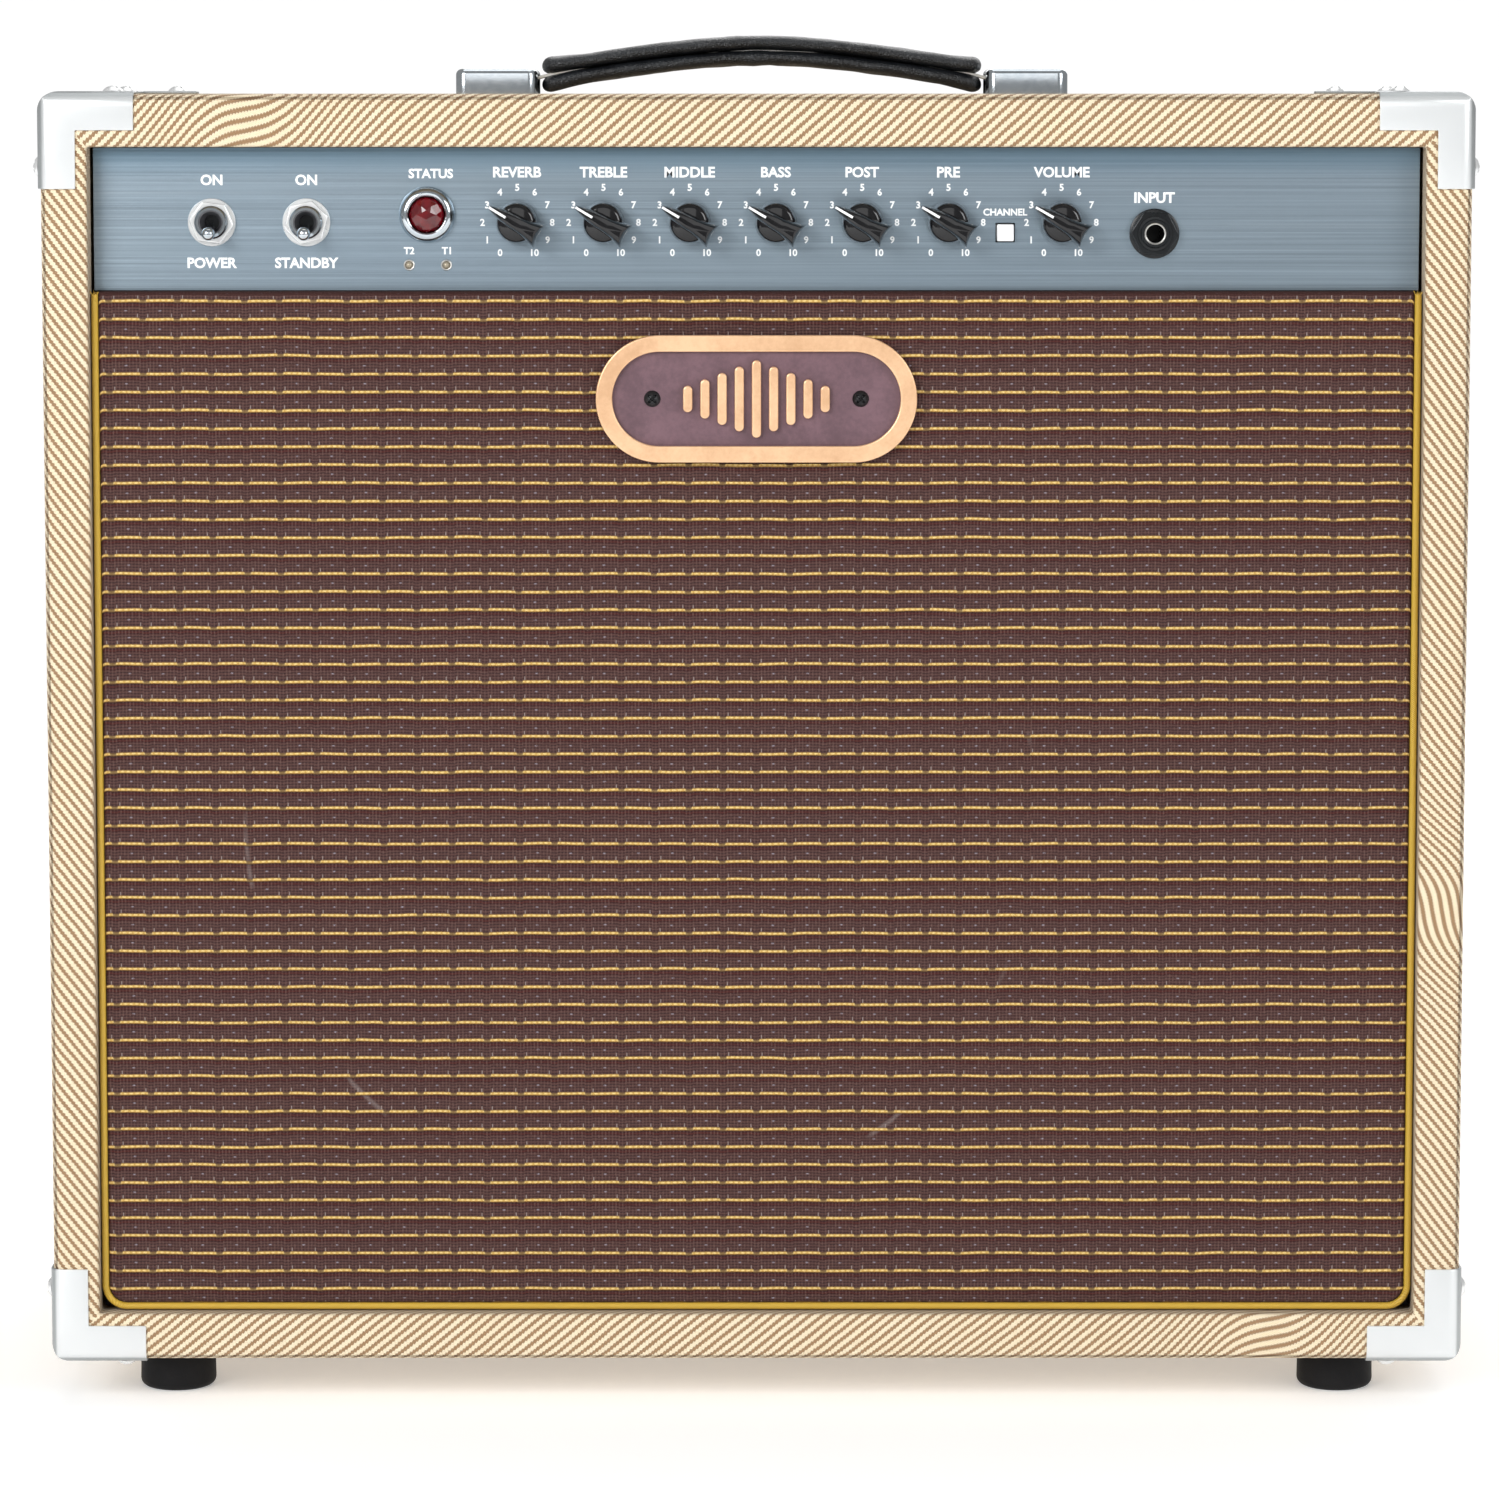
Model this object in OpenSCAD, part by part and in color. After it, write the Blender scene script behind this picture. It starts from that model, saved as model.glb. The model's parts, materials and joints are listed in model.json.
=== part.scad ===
// Guitar combo amplifier: a cloth-covered cabinet with a 12-inch loudspeaker,
// a steel control panel with seven knobs, two toggles and a channel button,
// and the chassis, tubes, transformers and reverb tank inside.
// Front faces -Y, +X is to the right as seen from the front, +Z is up.
// The origin is at the bottom centre of the whole object's box.

/* [Cabinet] */
// Width of the cabinet over its covering
cab_w = 515; // [505:1:530]
// Height of the cabinet over its covering, without the feet
cab_h = 462; // [458:1:480]
// Depth of the cabinet from front edge to back edge
cab_d = 240; // [236:1:260]
// Thickness of a side board with its covering
side_t = 17; // [15:0.5:17.5]
// Thickness of the top board with its covering
top_t = 19; // [17:0.5:20]
// Thickness of the bottom board with its covering
bottom_t = 17.3; // [15:0.1:18]
// Thickness of the cloth covering
skin_t = 0.8; // [0.6:0.1:1]
// Radius of the four long corners of the cabinet
corner_r = 6; // [4:0.5:7]
// Radius of the rounded front and back edges
edge_r = 4.5; // [3:0.5:5.5]
// Height of a rubber foot
foot_h = 17; // [12:1:20]
// Radius of a rubber foot
foot_r = 14; // [11:0.5:16]

/* [Corner caps] */
// Length of each leg of a corner cap
cap_leg = 34; // [30:1:38]
// Width of each leg of a corner cap
cap_w = 13; // [11:0.5:15]
// Thickness of the cap's metal
cap_t = 1; // [0.8:0.1:1.2]

/* [Grille] */
// Distance of the grille cloth behind the front edge
grille_recess = 5; // [4.5:0.5:6]
// Thickness of the grille frame
frame_t = 9; // [8:0.5:9]
// Diameter of the piping round the grille
piping_d = 2.6; // [2:0.1:3]
// Height of the control panel opening above the grille
panel_open_h = 52; // [50:0.5:54]
// Length of the badge
badge_w = 116; // [90:2:130]
// Height of the badge
badge_h = 46; // [42:1:54]

/* [Loudspeaker] */
// Radius of the loudspeaker's rim, half of 12 inches
speaker_r = 152.5; // [150:0.5:155]
// Distance of the loudspeaker to the left of the middle
speaker_left = 42; // [36:1:46]
// Height of the loudspeaker's centre above the floor
speaker_z = 217; // [214:1:222]
// Thickness of the speaker baffle
baffle_t = 15; // [12:1:18]

/* [Controls] */
// Distance of the control panel behind the front edge
panel_recess = 12; // [11:0.5:13]
// Distance between neighbouring tone knobs
knob_pitch = 31.15; // [29:0.5:31.5]
// Height of a knob's top above the panel
knob_h = 16; // [14:0.5:18]
// Half the throw of a toggle lever, in degrees
lever_tilt = 12; // [8:0.5:13]

/* [Handle] */
// Radius of the handle's arc
handle_r = 350; // [340:5:380]
// Width of the handle strap
strap_w = 30; // [26:1:34]
// Length of the handle strap's padded part
strap_len = 166; // [156:2:166]

/* [Hidden] */
$fn = 64;

// a toggle lever's reach in front of the panel and the radius of its tip
lever_reach = 14;
lever_tip_r = 2.4;

// cabinet box: the levers stand out in front and the corner caps stand out behind
half_w = cab_w / 2;
z0 = foot_h;
z1 = foot_h + cab_h;
stand_out = max(knob_h, lever_reach + lever_tip_r);
y0 = (stand_out - panel_recess - cap_t - cab_d) / 2;
y1 = y0 + cab_d;
mid_z = (z0 + z1) / 2;
gap = 0.3;

// clear opening inside the covering
in_x = half_w - side_t;
in_z0 = z0 + bottom_t;
in_z1 = z1 - top_t;
in_h = in_z1 - in_z0;
front_lip = 11;
rear_lip = 20;

// grille, baffle and loudspeaker planes, front to back
grille_top = in_z1 - panel_open_h;
cloth_t = 0.8;
grille_y = y0 + grille_recess;
baffle_y = grille_y + frame_t + 0.2;
baffle_back = baffle_y + baffle_t;
grille_hw = in_x - piping_d - 0.5;
grille_z0 = in_z0 + piping_d + 0.5;
grille_r = 6.5;
grille_rail = 24;
gasket_t = 4;
flange_y = baffle_back + gasket_t;
cut_r = speaker_r - 11.5;
cone_r = speaker_r - 24.5;
coil_r = 25.2;
bolt_ring_r = speaker_r - 5;
bolt_count = 8;
basket_depth = 60;
magnet_r = 72;
magnet_h = 42;

// chassis, under the top board
panel_y = y0 + panel_recess;
panel_t = 1.5;
panel_hw = in_x - 1;
chassis_z0 = grille_top + 0.5;
chassis_z1 = in_z1 - 0.8;
chassis_y0 = panel_y + panel_t;
chassis_y1 = y1 - 12;
chassis_hw = in_x - 3;
sheet_t = 1.2;

// places of the controls on the panel, as (x, height)
knob_z = grille_top + 24.8;
knob_x0 = -86.4;
volume_x = 110.2;
power_x = -196.8;
standby_x = -162.6;
pilot_at = [-119, knob_z + 2.8];
leds_x = [-125.6, -112.1];
leds_z = grille_top + 9.4;
button_at = [89.9, knob_z - 3.7];
input_at = [143.8, knob_z - 4];
knob_rest_turn = 60;

// potentiometer, shaft and knob
shaft_r = 3;
shaft_run = 0.06;
bush_r = 4;
bush_out = 5;
pot_r = 8.5;
pot_depth = 9;
knob_lift = 2.6;
knob_r = 7.7;

// toggle switch and lever
toggle_bush_r = 5.95;
toggle_out = 5;
pivot_in = 4;

// jack sockets
jack_r = 3.25;
jack_depth = 25;
footswitch_x = 60;
extension_x = 100;
rear_socket_z = (chassis_z0 + chassis_z1) / 2;
inlet_x = -170;

// back panels
back_t = 9;
back_y = y1 - 12;
back_hw = in_x - 0.6;
upper_back_h = 104;
lower_back_h = 130;

// handle
handle_x = 2;
strap_t = 11;
handle_apex = z1 + 22;
handle_cz = handle_apex - strap_t / 2 - handle_r;
core_t = 1.2;
core_w = 18;
end_cap_x = 100;
end_cap_l = 30.8;
end_cap_w = 34;
end_cap_h = 9.3;
handle_y = (y0 + y1) / 2;

// badge
badge_z = grille_top - 38.5;
badge_screw_x = 37.6;

// feet and fastenings
foot_in_x = 42;
foot_in_y = 36;
screw_head_r = 3.8;

// tubes, transformers and tank hang from the chassis or stand on the floor board
tube_y = y1 - 52;
power_tube_x = [-62, -26];
preamp_tube_x = [20, 62, 104];
socket_h = 8;
power_tf = [78, 62, 66];
power_tf_at = [-178, 20];
output_tf = [58, 44, 50];
output_tf_at = [178, 30];
tank = [400, 108, 33];
tank_y = y1 - 20 - tank[1];

// the loudspeaker lead's route, from the chassis to the basket's terminal strip
terminal_at = [-speaker_left + 98 * cos(22.5), flange_y + 36, speaker_z + 98 * sin(22.5)];
lead_r = 2.5;
lead_route = [
    [128, 20, chassis_z0 - 0.2], [128, 20, 396], [126, 18, 376], [120, 10, 350],
    [112, 0, 326], [102, -8, 304], [88, -14, 284], [70, -18, 268], [56, -24, 258],
    terminal_at + [0, 12.3, 0]
];

// ---------- shared shapes ----------

// a box from its low corner to its high corner
module block(lo, hi) {
    translate(lo) cube(hi - lo);
}

// a flat outline, drawn as width and height, extruded backwards from depth y
module plate(y, t) {
    translate([0, y + t, 0]) rotate([90, 0, 0]) linear_extrude(t) children();
}

// a round bar running backwards from depth y
module bar_y(at, y, r, l, r2 = -1) {
    translate([at[0], y, at[1]]) rotate([-90, 0, 0])
        cylinder(r1 = r, r2 = r2 < 0 ? r : r2, h = l);
}

// a profile of (radius, depth) turned about a front-to-back axis
module turned_y(at, y) {
    translate([at[0], y, at[1]]) rotate([-90, 0, 0]) rotate_extrude($fn = 96) children();
}

// a rectangle with round corners, centred
module round_rect(w, h, r) {
    square([w - 2 * r, h], center = true);
    square([w, h - 2 * r], center = true);
    for (x = [-1, 1], y = [-1, 1])
        translate([x * (w / 2 - r), y * (h / 2 - r)]) circle(r);
}

// a bar with two round ends, centred
module stadium(w, h) {
    square([w - h, h], center = true);
    for (x = [-1, 1]) translate([x * (w - h) / 2, 0]) circle(h / 2);
}

// the cabinet's outline grown by g, seen from the front
module cab_outline(g) {
    translate([0, mid_z]) round_rect(cab_w + 2 * g, cab_h + 2 * g, corner_r + skin_t + g);
}

// the clear opening grown by g, seen from the front
module opening(g) {
    translate([-in_x - g, in_z0 - g]) square([2 * (in_x + g), in_h + 2 * g]);
}

// what a rounded edge takes away, for an edge that runs along +X at the origin
module edge_cutter(l, r) {
    difference() {
        translate([-l / 2, -r - 2, -r]) cube([l, 2 * r + 2, r + 2]);
        translate([-l / 2, -r, -r]) rotate([0, 90, 0]) cylinder(r = r, h = l, $fn = 48);
        translate([-l / 2, -2 * r - 3, -r - 1]) cube([l, r + 3, 2 * r + 4]);
    }
}

// the round-over on the front and back edges of the cabinet grown by g
module round_over(g) {
    r = edge_r + g;
    for (side = [0, 1], end = [0, 1]) {
        translate([0, end ? y1 + g : y0 - g, side ? z1 + g : z0 - g])
            rotate([0, side ? 0 : 180, 0]) mirror([0, end ? 0 : 1, 0])
            edge_cutter(cab_w + 20, r);
        translate([side ? half_w + g : -half_w - g, end ? y1 + g : y0 - g, mid_z])
            rotate([0, side ? 90 : -90, 0]) mirror([0, end ? 0 : 1, 0])
            edge_cutter(cab_h + 20, r);
    }
}

// the whole cabinet as one rounded block grown by g
module cab_block(g) {
    difference() {
        plate(y0 - g, cab_d + 2 * g) cab_outline(g);
        round_over(g);
    }
}

// ---------- cabinet ----------

// the part of the wooden box under the covering that lies between two corners
module board(lo, hi) {
    color("burlywood") intersection() {
        cab_block(-skin_t);
        block(lo, hi);
    }
}

module top_board() {
    board([-cab_w, y0 - 1, in_z1 + skin_t], [cab_w, y1 + 1, z1 + 1]);
}

module bottom_board() {
    board([-cab_w, y0 - 1, z0 - 1], [cab_w, y1 + 1, in_z0 - skin_t]);
}

module side_board(side) {
    inner = in_x + skin_t;
    board([side < 0 ? -cab_w : inner, y0 - 1, in_z0 - skin_t],
          [side < 0 ? -inner : cab_w, y1 + 1, in_z1 + skin_t]);
}

module left_board() { side_board(-1); }
module right_board() { side_board(1); }

// cleats that the baffle and the back panels are screwed to
module mounting_battens() {
    color("tan") {
        for (side = [-1, 1]) {
            translate([side * (in_x - 8.5), 0, 0])
                block([-8.5, baffle_back + 0.1, in_z0 + 22], [8.5, baffle_back + 18, grille_top - 2]);
            translate([side * (in_x - 8.5), 0, 0])
                block([-8.5, back_y - 18, in_z0 + 40], [8.5, back_y - 0.1, grille_top - 2]);
        }
        block([-in_x + 1, baffle_back + 0.1, in_z0], [in_x - 1, baffle_back + 18, in_z0 + 20]);
    }
}

module tweed_covering() {
    color("wheat") difference() {
        cab_block(0);
        plate(y0 - 1, cab_d + 2) opening(0);
        difference() {
            cab_block(-skin_t);
            plate(y0 - 2, cab_d + 4) opening(skin_t);
        }
        plate(y0 + front_lip, cab_d - front_lip - rear_lip) opening(2 * skin_t);
    }
}

// the region of one corner cap: three legs along the three edges
module cap_legs(sx, sy, sz) {
    legs = [[cap_leg, cap_w, cap_w], [cap_w, cap_leg, cap_w], [cap_w, cap_w, cap_leg]];
    translate([sx * half_w, sy < 0 ? y0 : y1, sz < 0 ? z0 : z1])
        mirror([sx > 0 ? 1 : 0, 0, 0]) mirror([0, sy > 0 ? 1 : 0, 0])
        mirror([0, 0, sz > 0 ? 1 : 0])
        for (leg = legs) translate([-3, -3, -3]) cube(leg + [3, 3, 3]);
}

module corner_caps(sy) {
    color("silver") intersection() {
        difference() {
            cab_block(cap_t);
            cab_block(0.02);
        }
        for (sx = [-1, 1], sz = [-1, 1]) cap_legs(sx, sy, sz);
    }
}

module front_corner_caps() { corner_caps(-1); }
module rear_corner_caps() { corner_caps(1); }

// a domed screw head standing on z = 0
module dome_head(r, h) {
    rotate_extrude($fn = 32) intersection() {
        translate([0, h - (r * r + h * h) / (2 * h)]) circle((r * r + h * h) / (2 * h), $fn = 96);
        square([r, h]);
    }
}

// the caps' screws: on the top, the bottom and the two sides
module corner_cap_screws() {
    across = 7.5;
    along = 26;
    proud = cap_t + 0.05;
    color("gainsboro") for (sx = [-1, 1], sy = [-1, 1], sz = [-1, 1]) {
        y_edge = sy < 0 ? y0 : y1;
        z_face = sz < 0 ? z0 - proud : z1 + proud;
        translate([sx * (half_w - along), y_edge - sy * across, z_face])
            rotate([sz < 0 ? 180 : 0, 0, 0]) dome_head(screw_head_r, 2);
        translate([sx * (half_w + proud), y_edge - sy * across, sz < 0 ? z0 + along : z1 - along])
            rotate([0, sx * 90, 0]) dome_head(screw_head_r, 2);
        if (sy > 0)
            translate([sx * (half_w - across), y_edge - along, z_face])
                rotate([sz < 0 ? 180 : 0, 0, 0]) dome_head(screw_head_r, 2);
        else
            translate([sx * (half_w + proud), y_edge + along, sz < 0 ? z0 + across : z1 - across])
                rotate([0, sx * 90, 0]) dome_head(screw_head_r, 2);
    }
}

// the four places of the feet
module at_feet() {
    for (sx = [-1, 1], y = [y0 + foot_in_y, y1 - foot_in_y])
        translate([sx * (half_w - foot_in_x), y, 0]) children();
}

module rubber_feet() {
    color("dimgray") at_feet() difference() {
        rotate_extrude($fn = 64) polygon([
            [0, 0], [foot_r - 1.2, 0], [foot_r, 1.2], [foot_r, foot_h - 0.1], [0, foot_h - 0.1]
        ]);
        translate([0, 0, -1]) cylinder(r = 5.5, h = foot_h - 5);
        cylinder(r = 2.6, h = foot_h);
    }
}

// a wood screw that points up, its head's underside at z = 0
module wood_screw(l) {
    translate([0, 0, -2]) cylinder(r = screw_head_r, h = 2);
    cylinder(r = 2.1, h = l);
}

// the screws of the feet, the back panels and the handle
module wood_screws() {
    color("silver") {
        at_feet() translate([0, 0, foot_h - 6]) wood_screw(16);
        for (sx = [-1, 1], z = back_screw_heights())
            translate([sx * (in_x - 8.5), back_y + back_t + 0.02, z])
                rotate([90, 0, 0]) wood_screw(back_t + 12);
        for (sx = [-1, 1], dy = [-11, 11])
            translate([handle_x + sx * (end_cap_x + 6), handle_y + dy, z1 + 0.05])
                mirror([0, 0, 1]) wood_screw(12);
    }
}

function back_screw_heights() = [
    in_z0 + 50, in_z0 + lower_back_h - 14, grille_top - upper_back_h + 14, grille_top - 16
];

// ---------- grille and badge ----------

// the grille's outline grown by g, square at the top and round at the bottom
module grille_outline(g) {
    w = grille_hw + g;
    lo = grille_z0 - g;
    r = max(grille_r + g, 0.5);
    translate([-w, lo + r]) square([2 * w, grille_top + g - lo - r]);
    translate([-w + r, lo]) square([2 * (w - r), r]);
    for (s = [-1, 1]) translate([s * (w - r), lo + r]) circle(r);
}

module speaker_baffle() {
    color("black") difference() {
        plate(baffle_y, baffle_t) translate([-in_x + 0.5, in_z0 + 0.3])
            square([2 * in_x - 1, grille_top - in_z0 - 0.6]);
        bar_y(speaker_at(), baffle_y - 1, cut_r, baffle_t + 2, $fn = 96);
        at_speaker_bolts() bar_y([0, 0], baffle_back - 11, 2.3, 12);
    }
}

module grille_frame() {
    color("peru") difference() {
        plate(grille_y + cloth_t, frame_t - cloth_t) grille_outline(-cloth_t - 0.05);
        plate(grille_y - 1, frame_t + 2)
            translate([-grille_hw + grille_rail, grille_z0 + grille_rail])
            square([2 * (grille_hw - grille_rail), grille_top - grille_z0 - 2 * grille_rail]);
    }
}

module grille_cloth() {
    color("saddlebrown") difference() {
        plate(grille_y, frame_t) grille_outline(0);
        plate(grille_y + cloth_t - 0.02, frame_t) grille_outline(-cloth_t);
    }
}

// cord piping down both sides and along the bottom of the grille
module grille_piping() {
    rope_r = piping_d / 2;
    off = rope_r + 0.1;
    turn = grille_r + off;
    y = grille_y + rope_r;
    w = grille_hw + off;
    lo = grille_z0 - off;
    color("gold") {
        for (s = [-1, 1]) {
            translate([s * w, y, lo + turn]) cylinder(r = rope_r, h = grille_top - 1 - lo - turn);
            translate([s * (w - turn), y, lo + turn]) rotate([90, 0, 0])
                rotate([0, 0, s < 0 ? 180 : 270])
                rotate_extrude(angle = 90) translate([turn, 0]) circle(rope_r);
        }
        translate([-w + turn, y, lo]) rotate([0, 90, 0]) cylinder(r = rope_r, h = 2 * (w - turn));
    }
}

module badge_backing() {
    color("rosybrown") difference() {
        plate(grille_y - 2.02, 2) translate([0, badge_z]) stadium(badge_w - 6, badge_h - 6);
        badge_screw_holes(1.8);
    }
}

// an oval rim round a row of upright bars that grow towards the middle
module badge_plate() {
    bars = 9;
    color("peachpuff") plate(grille_y - 4.2, 2.1) translate([0, badge_z]) {
        difference() {
            stadium(badge_w, badge_h);
            stadium(badge_w - 12, badge_h - 12);
        }
        for (i = [0:bars - 1]) {
            from_mid = abs(i - (bars - 1) / 2);
            translate([(i - (bars - 1) / 2) * 6.2, 0])
                rotate(90) stadium(28 - 4.6 * from_mid, 3.4);
        }
    }
}

module badge_screw_holes(r) {
    for (s = [-1, 1]) bar_y([s * badge_screw_x, badge_z], grille_y - 3, r, 5);
}

module badge_screws() {
    color("black") for (s = [-1, 1]) {
        translate([s * badge_screw_x, grille_y - 2.05, badge_z])
            rotate([90, 0, 0]) dome_head(3, 1.9);
        bar_y([s * badge_screw_x, badge_z], grille_y - 2.1, 1.5, 2);
    }
}

// ---------- handle ----------

// a cross-section swept along the handle's arc, over the angle at each side of the middle
module handle_arc(half_angle) {
    translate([handle_x, handle_y, handle_cz]) rotate([90, 0, 0])
        rotate([0, 0, 90 - half_angle])
        rotate_extrude(angle = 2 * half_angle, $fn = 360) translate([handle_r, 0]) children();
}

strap_angle = asin(strap_len / 2 / handle_r);
core_angle = asin((end_cap_x + 1) / handle_r);

// a strap of two stitched layers with round edges and a slot for the steel core
module handle_strap() {
    layer = strap_t / 2 + 0.4;
    color("black") handle_arc(strap_angle) difference() {
        for (s = [-1, 1]) translate([s * (strap_t - layer) / 2, 0]) rotate(90)
            stadium(strap_w, layer);
        square([core_t + 0.5, core_w + 2], center = true);
    }
}

module handle_core() {
    color("lightgray") handle_arc(core_angle) square([core_t, core_w], center = true);
}

// hollow end caps with a slot that the core goes into
module handle_end_caps() {
    color("silver") for (s = [-1, 1]) translate([handle_x + s * end_cap_x, handle_y, z1 + 0.02])
        difference() {
            linear_extrude(end_cap_h) round_rect(end_cap_l, end_cap_w, 4);
            translate([0, 0, -1]) linear_extrude(end_cap_h)
                round_rect(end_cap_l - 2.4, end_cap_w - 2.4, 2.8);
            translate([-s * end_cap_l / 2, 0, end_cap_h / 2 - 2])
                cube([6, core_w + 4, end_cap_h], center = true);
        }
}

// ---------- back panels ----------

module back_panel(z, h) {
    translate([0, z]) difference() {
        translate([-back_hw, 0]) square([2 * back_hw, h]);
        children();
    }
}

module back_screw_holes() {
    for (sx = [-1, 1], z = back_screw_heights())
        bar_y([sx * (in_x - 8.5), z], back_y - 1, 2.3, back_t + 2);
}

// the upper back panel has five rows of vent slots behind the tubes
module back_panel_upper() {
    color("wheat") difference() {
        plate(back_y, back_t) back_panel(grille_top - upper_back_h, upper_back_h)
            for (i = [0:4], k = [0:3]) translate([-55 + k * 50, 32 + i * 11]) stadium(44, 5);
        back_screw_holes();
    }
}

module back_panel_lower() {
    color("wheat") difference() {
        plate(back_y, back_t) back_panel(in_z0 + gap, lower_back_h);
        back_screw_holes();
    }
}

// ---------- control panel and chassis ----------

function knob_at(i) = [i < 6 ? knob_x0 + i * knob_pitch : volume_x, knob_z];
toggles_at = [[power_x, knob_z], [standby_x, knob_z]];
sockets_at = [[footswitch_x, rear_socket_z], [extension_x, rear_socket_z]];

module control_panel() {
    color("lightsteelblue") difference() {
        plate(panel_y, panel_t) translate([-panel_hw, grille_top + gap])
            square([2 * panel_hw, in_z1 - grille_top - 2 * gap]);
        for (i = [0:6]) bar_y(knob_at(i), panel_y - 1, bush_r + 0.15, 4);
        for (at = toggles_at) bar_y(at, panel_y - 1, toggle_bush_r + 0.15, 4);
        bar_y(pilot_at, panel_y - 1, 7.7, 4);
        for (x = leds_x) bar_y([x, leds_z], panel_y - 1, 1.75, 4);
        bar_y(input_at, panel_y - 1, 6.3, 4);
        translate([button_at[0] - 3.5, panel_y - 1, button_at[1] - 3.5]) cube([7, 4, 7]);
    }
}

// an open tray: floor, back wall and two end walls
module chassis() {
    lo = [-chassis_hw, chassis_y0 + 0.1, chassis_z0];
    hi = [chassis_hw, chassis_y1, chassis_z1];
    color("slategray") difference() {
        block(lo, hi);
        block(lo + [sheet_t, -1, sheet_t], hi + [-sheet_t, -sheet_t, 1]);
        for (at = sockets_at) bar_y(at, chassis_y1 - 3, 4.9, 5);
        translate([inlet_x, chassis_y1, rear_socket_z]) cube([27.6, 10, 20.6], center = true);
        for (x = concat(power_tube_x, preamp_tube_x))
            translate([x, tube_y, chassis_z0 - 1]) cylinder(r = 8, h = 4);
    }
}

module potentiometers() {
    color("darkgray") for (i = [0:6]) difference() {
        union() {
            bar_y(knob_at(i), chassis_y0 + 0.05, pot_r, pot_depth);
            bar_y(knob_at(i), panel_y - bush_out, bush_r, bush_out + panel_t + 1);
        }
        bar_y(knob_at(i), panel_y - bush_out - 1, shaft_r + shaft_run, bush_out + pot_depth);
    }
}

module pot_nuts() {
    color("silver") for (i = [0:6]) difference() {
        bar_y(knob_at(i), panel_y - 2, 6.35, 1.98, $fn = 6);
        bar_y(knob_at(i), panel_y - 3, bush_r + 0.05, 4);
    }
}

// outline of the pointer: a pointed nose, a waist and a flared tail, nose towards +Y
module pointer_outline() {
    polygon([
        [0.5, 12.2], [2.6, 6], [3.1, 0], [2.9, -4], [4.7, -9.4],
        [2.4, -10], [-2.4, -10], [-4.7, -9.4], [-2.9, -4], [-3.1, 0], [-2.6, 6], [-0.5, 12.2]
    ]);
}

// one knob with its shaft as a second solid; the pointer stands at 3 on the dial
module knob(i) {
    at = knob_at(i);
    base_y = panel_y - knob_lift;
    color("black") translate([at[0], base_y, at[1]]) rotate([90, 0, 0])
        rotate([0, 0, knob_rest_turn]) difference() {
            union() {
                cylinder(r1 = knob_r, r2 = knob_r - 0.9, h = 7);
                linear_extrude(knob_h - knob_lift) pointer_outline();
            }
            translate([0, 0, -1]) cylinder(r = bush_r + 0.6, h = 4.5);
            cylinder(r = shaft_r + 0.03, h = 10.5);
        }
    color("gold") bar_y(at, panel_y - 12, shaft_r, 12 + 7);
}

module reverb_knob() { knob(0); }
module treble_knob() { knob(1); }
module middle_knob() { knob(2); }
module bass_knob() { knob(3); }
module post_gain_knob() { knob(4); }
module pre_gain_knob() { knob(5); }
module volume_knob() { knob(6); }

// switch body with a threaded bushing and a flared bore for the lever
module toggle_switches() {
    color("silver") for (at = toggles_at) difference() {
        union() {
            bar_y(at, panel_y - toggle_out, toggle_bush_r, toggle_out + panel_t + 1);
            translate([at[0] - 6.5, chassis_y0 + 0.05, at[1] - 12.5]) cube([13, 20, 25]);
        }
        bar_y(at, panel_y - toggle_out - 0.01, 4.3, toggle_out + pivot_in + 0.01, r2 = 2.9);
        bar_y(at, panel_y + pivot_in - 0.01, 2.9, 4);
    }
}

module toggle_nuts() {
    color("silver") for (at = toggles_at) {
        difference() {
            bar_y(at, panel_y - 0.8, 8.5, 0.78);
            bar_y(at, panel_y - 2, toggle_bush_r + 0.05, 3);
        }
        difference() {
            bar_y(at, panel_y - 3.05, 8.25, 2.2, $fn = 6);
            bar_y(at, panel_y - 4, toggle_bush_r + 0.05, 5);
        }
    }
}

// a bat lever that leans down, its pivot ball inside the bushing
module toggle_lever(at) {
    reach = (lever_reach + pivot_in) / cos(lever_tilt);
    color("silver") translate([at[0], panel_y + pivot_in, at[1]]) rotate([90 + lever_tilt, 0, 0]) {
        sphere(r = 2.1, $fn = 48);
        cylinder(r1 = 1.3, r2 = lever_tip_r, h = reach);
        translate([0, 0, reach]) sphere(r = lever_tip_r, $fn = 48);
    }
}

module power_lever() { toggle_lever(toggles_at[0]); }
module standby_lever() { toggle_lever(toggles_at[1]); }

// chrome ring with its lamp holder behind the panel
module pilot_bezel() {
    color("silver") turned_y(pilot_at, panel_y) polygon([
        [6.6, -3.4], [7.6, -3.8], [9.2, -3], [10.2, -1.2], [10.2, -0.02],
        [7.5, -0.02], [7.5, 22], [6.6, 22]
    ]);
}

// a domed lens that fills the bezel
module pilot_jewel() {
    color("red") turned_y(pilot_at, panel_y) polygon([
        [0, -6.6], [2.6, -6.2], [4.9, -5], [6.4, -3.2], [6.4, 3], [0, 3]
    ]);
}

module status_leds() {
    color("dimgray") for (x = leds_x) turned_y([x, leds_z], panel_y) polygon([
        [0, -1.4], [0.9, -1.2], [1.5, -0.4], [1.5, 4], [0, 4]
    ]);
}

module channel_button() {
    color("white") translate([button_at[0] - 3.05, panel_y - 2.8, button_at[1] - 3.05])
        cube([6.1, 11, 6.1]);
}

// push switch with a square pocket that the button slides in
module channel_switch() {
    color("dimgray") difference() {
        translate([button_at[0] - 6, panel_y + 4, button_at[1] - 6]) cube([12, 14, 12]);
        translate([button_at[0] - 3.4, panel_y + 3, button_at[1] - 3.4]) cube([6.8, 9, 6.8]);
    }
}

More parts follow.
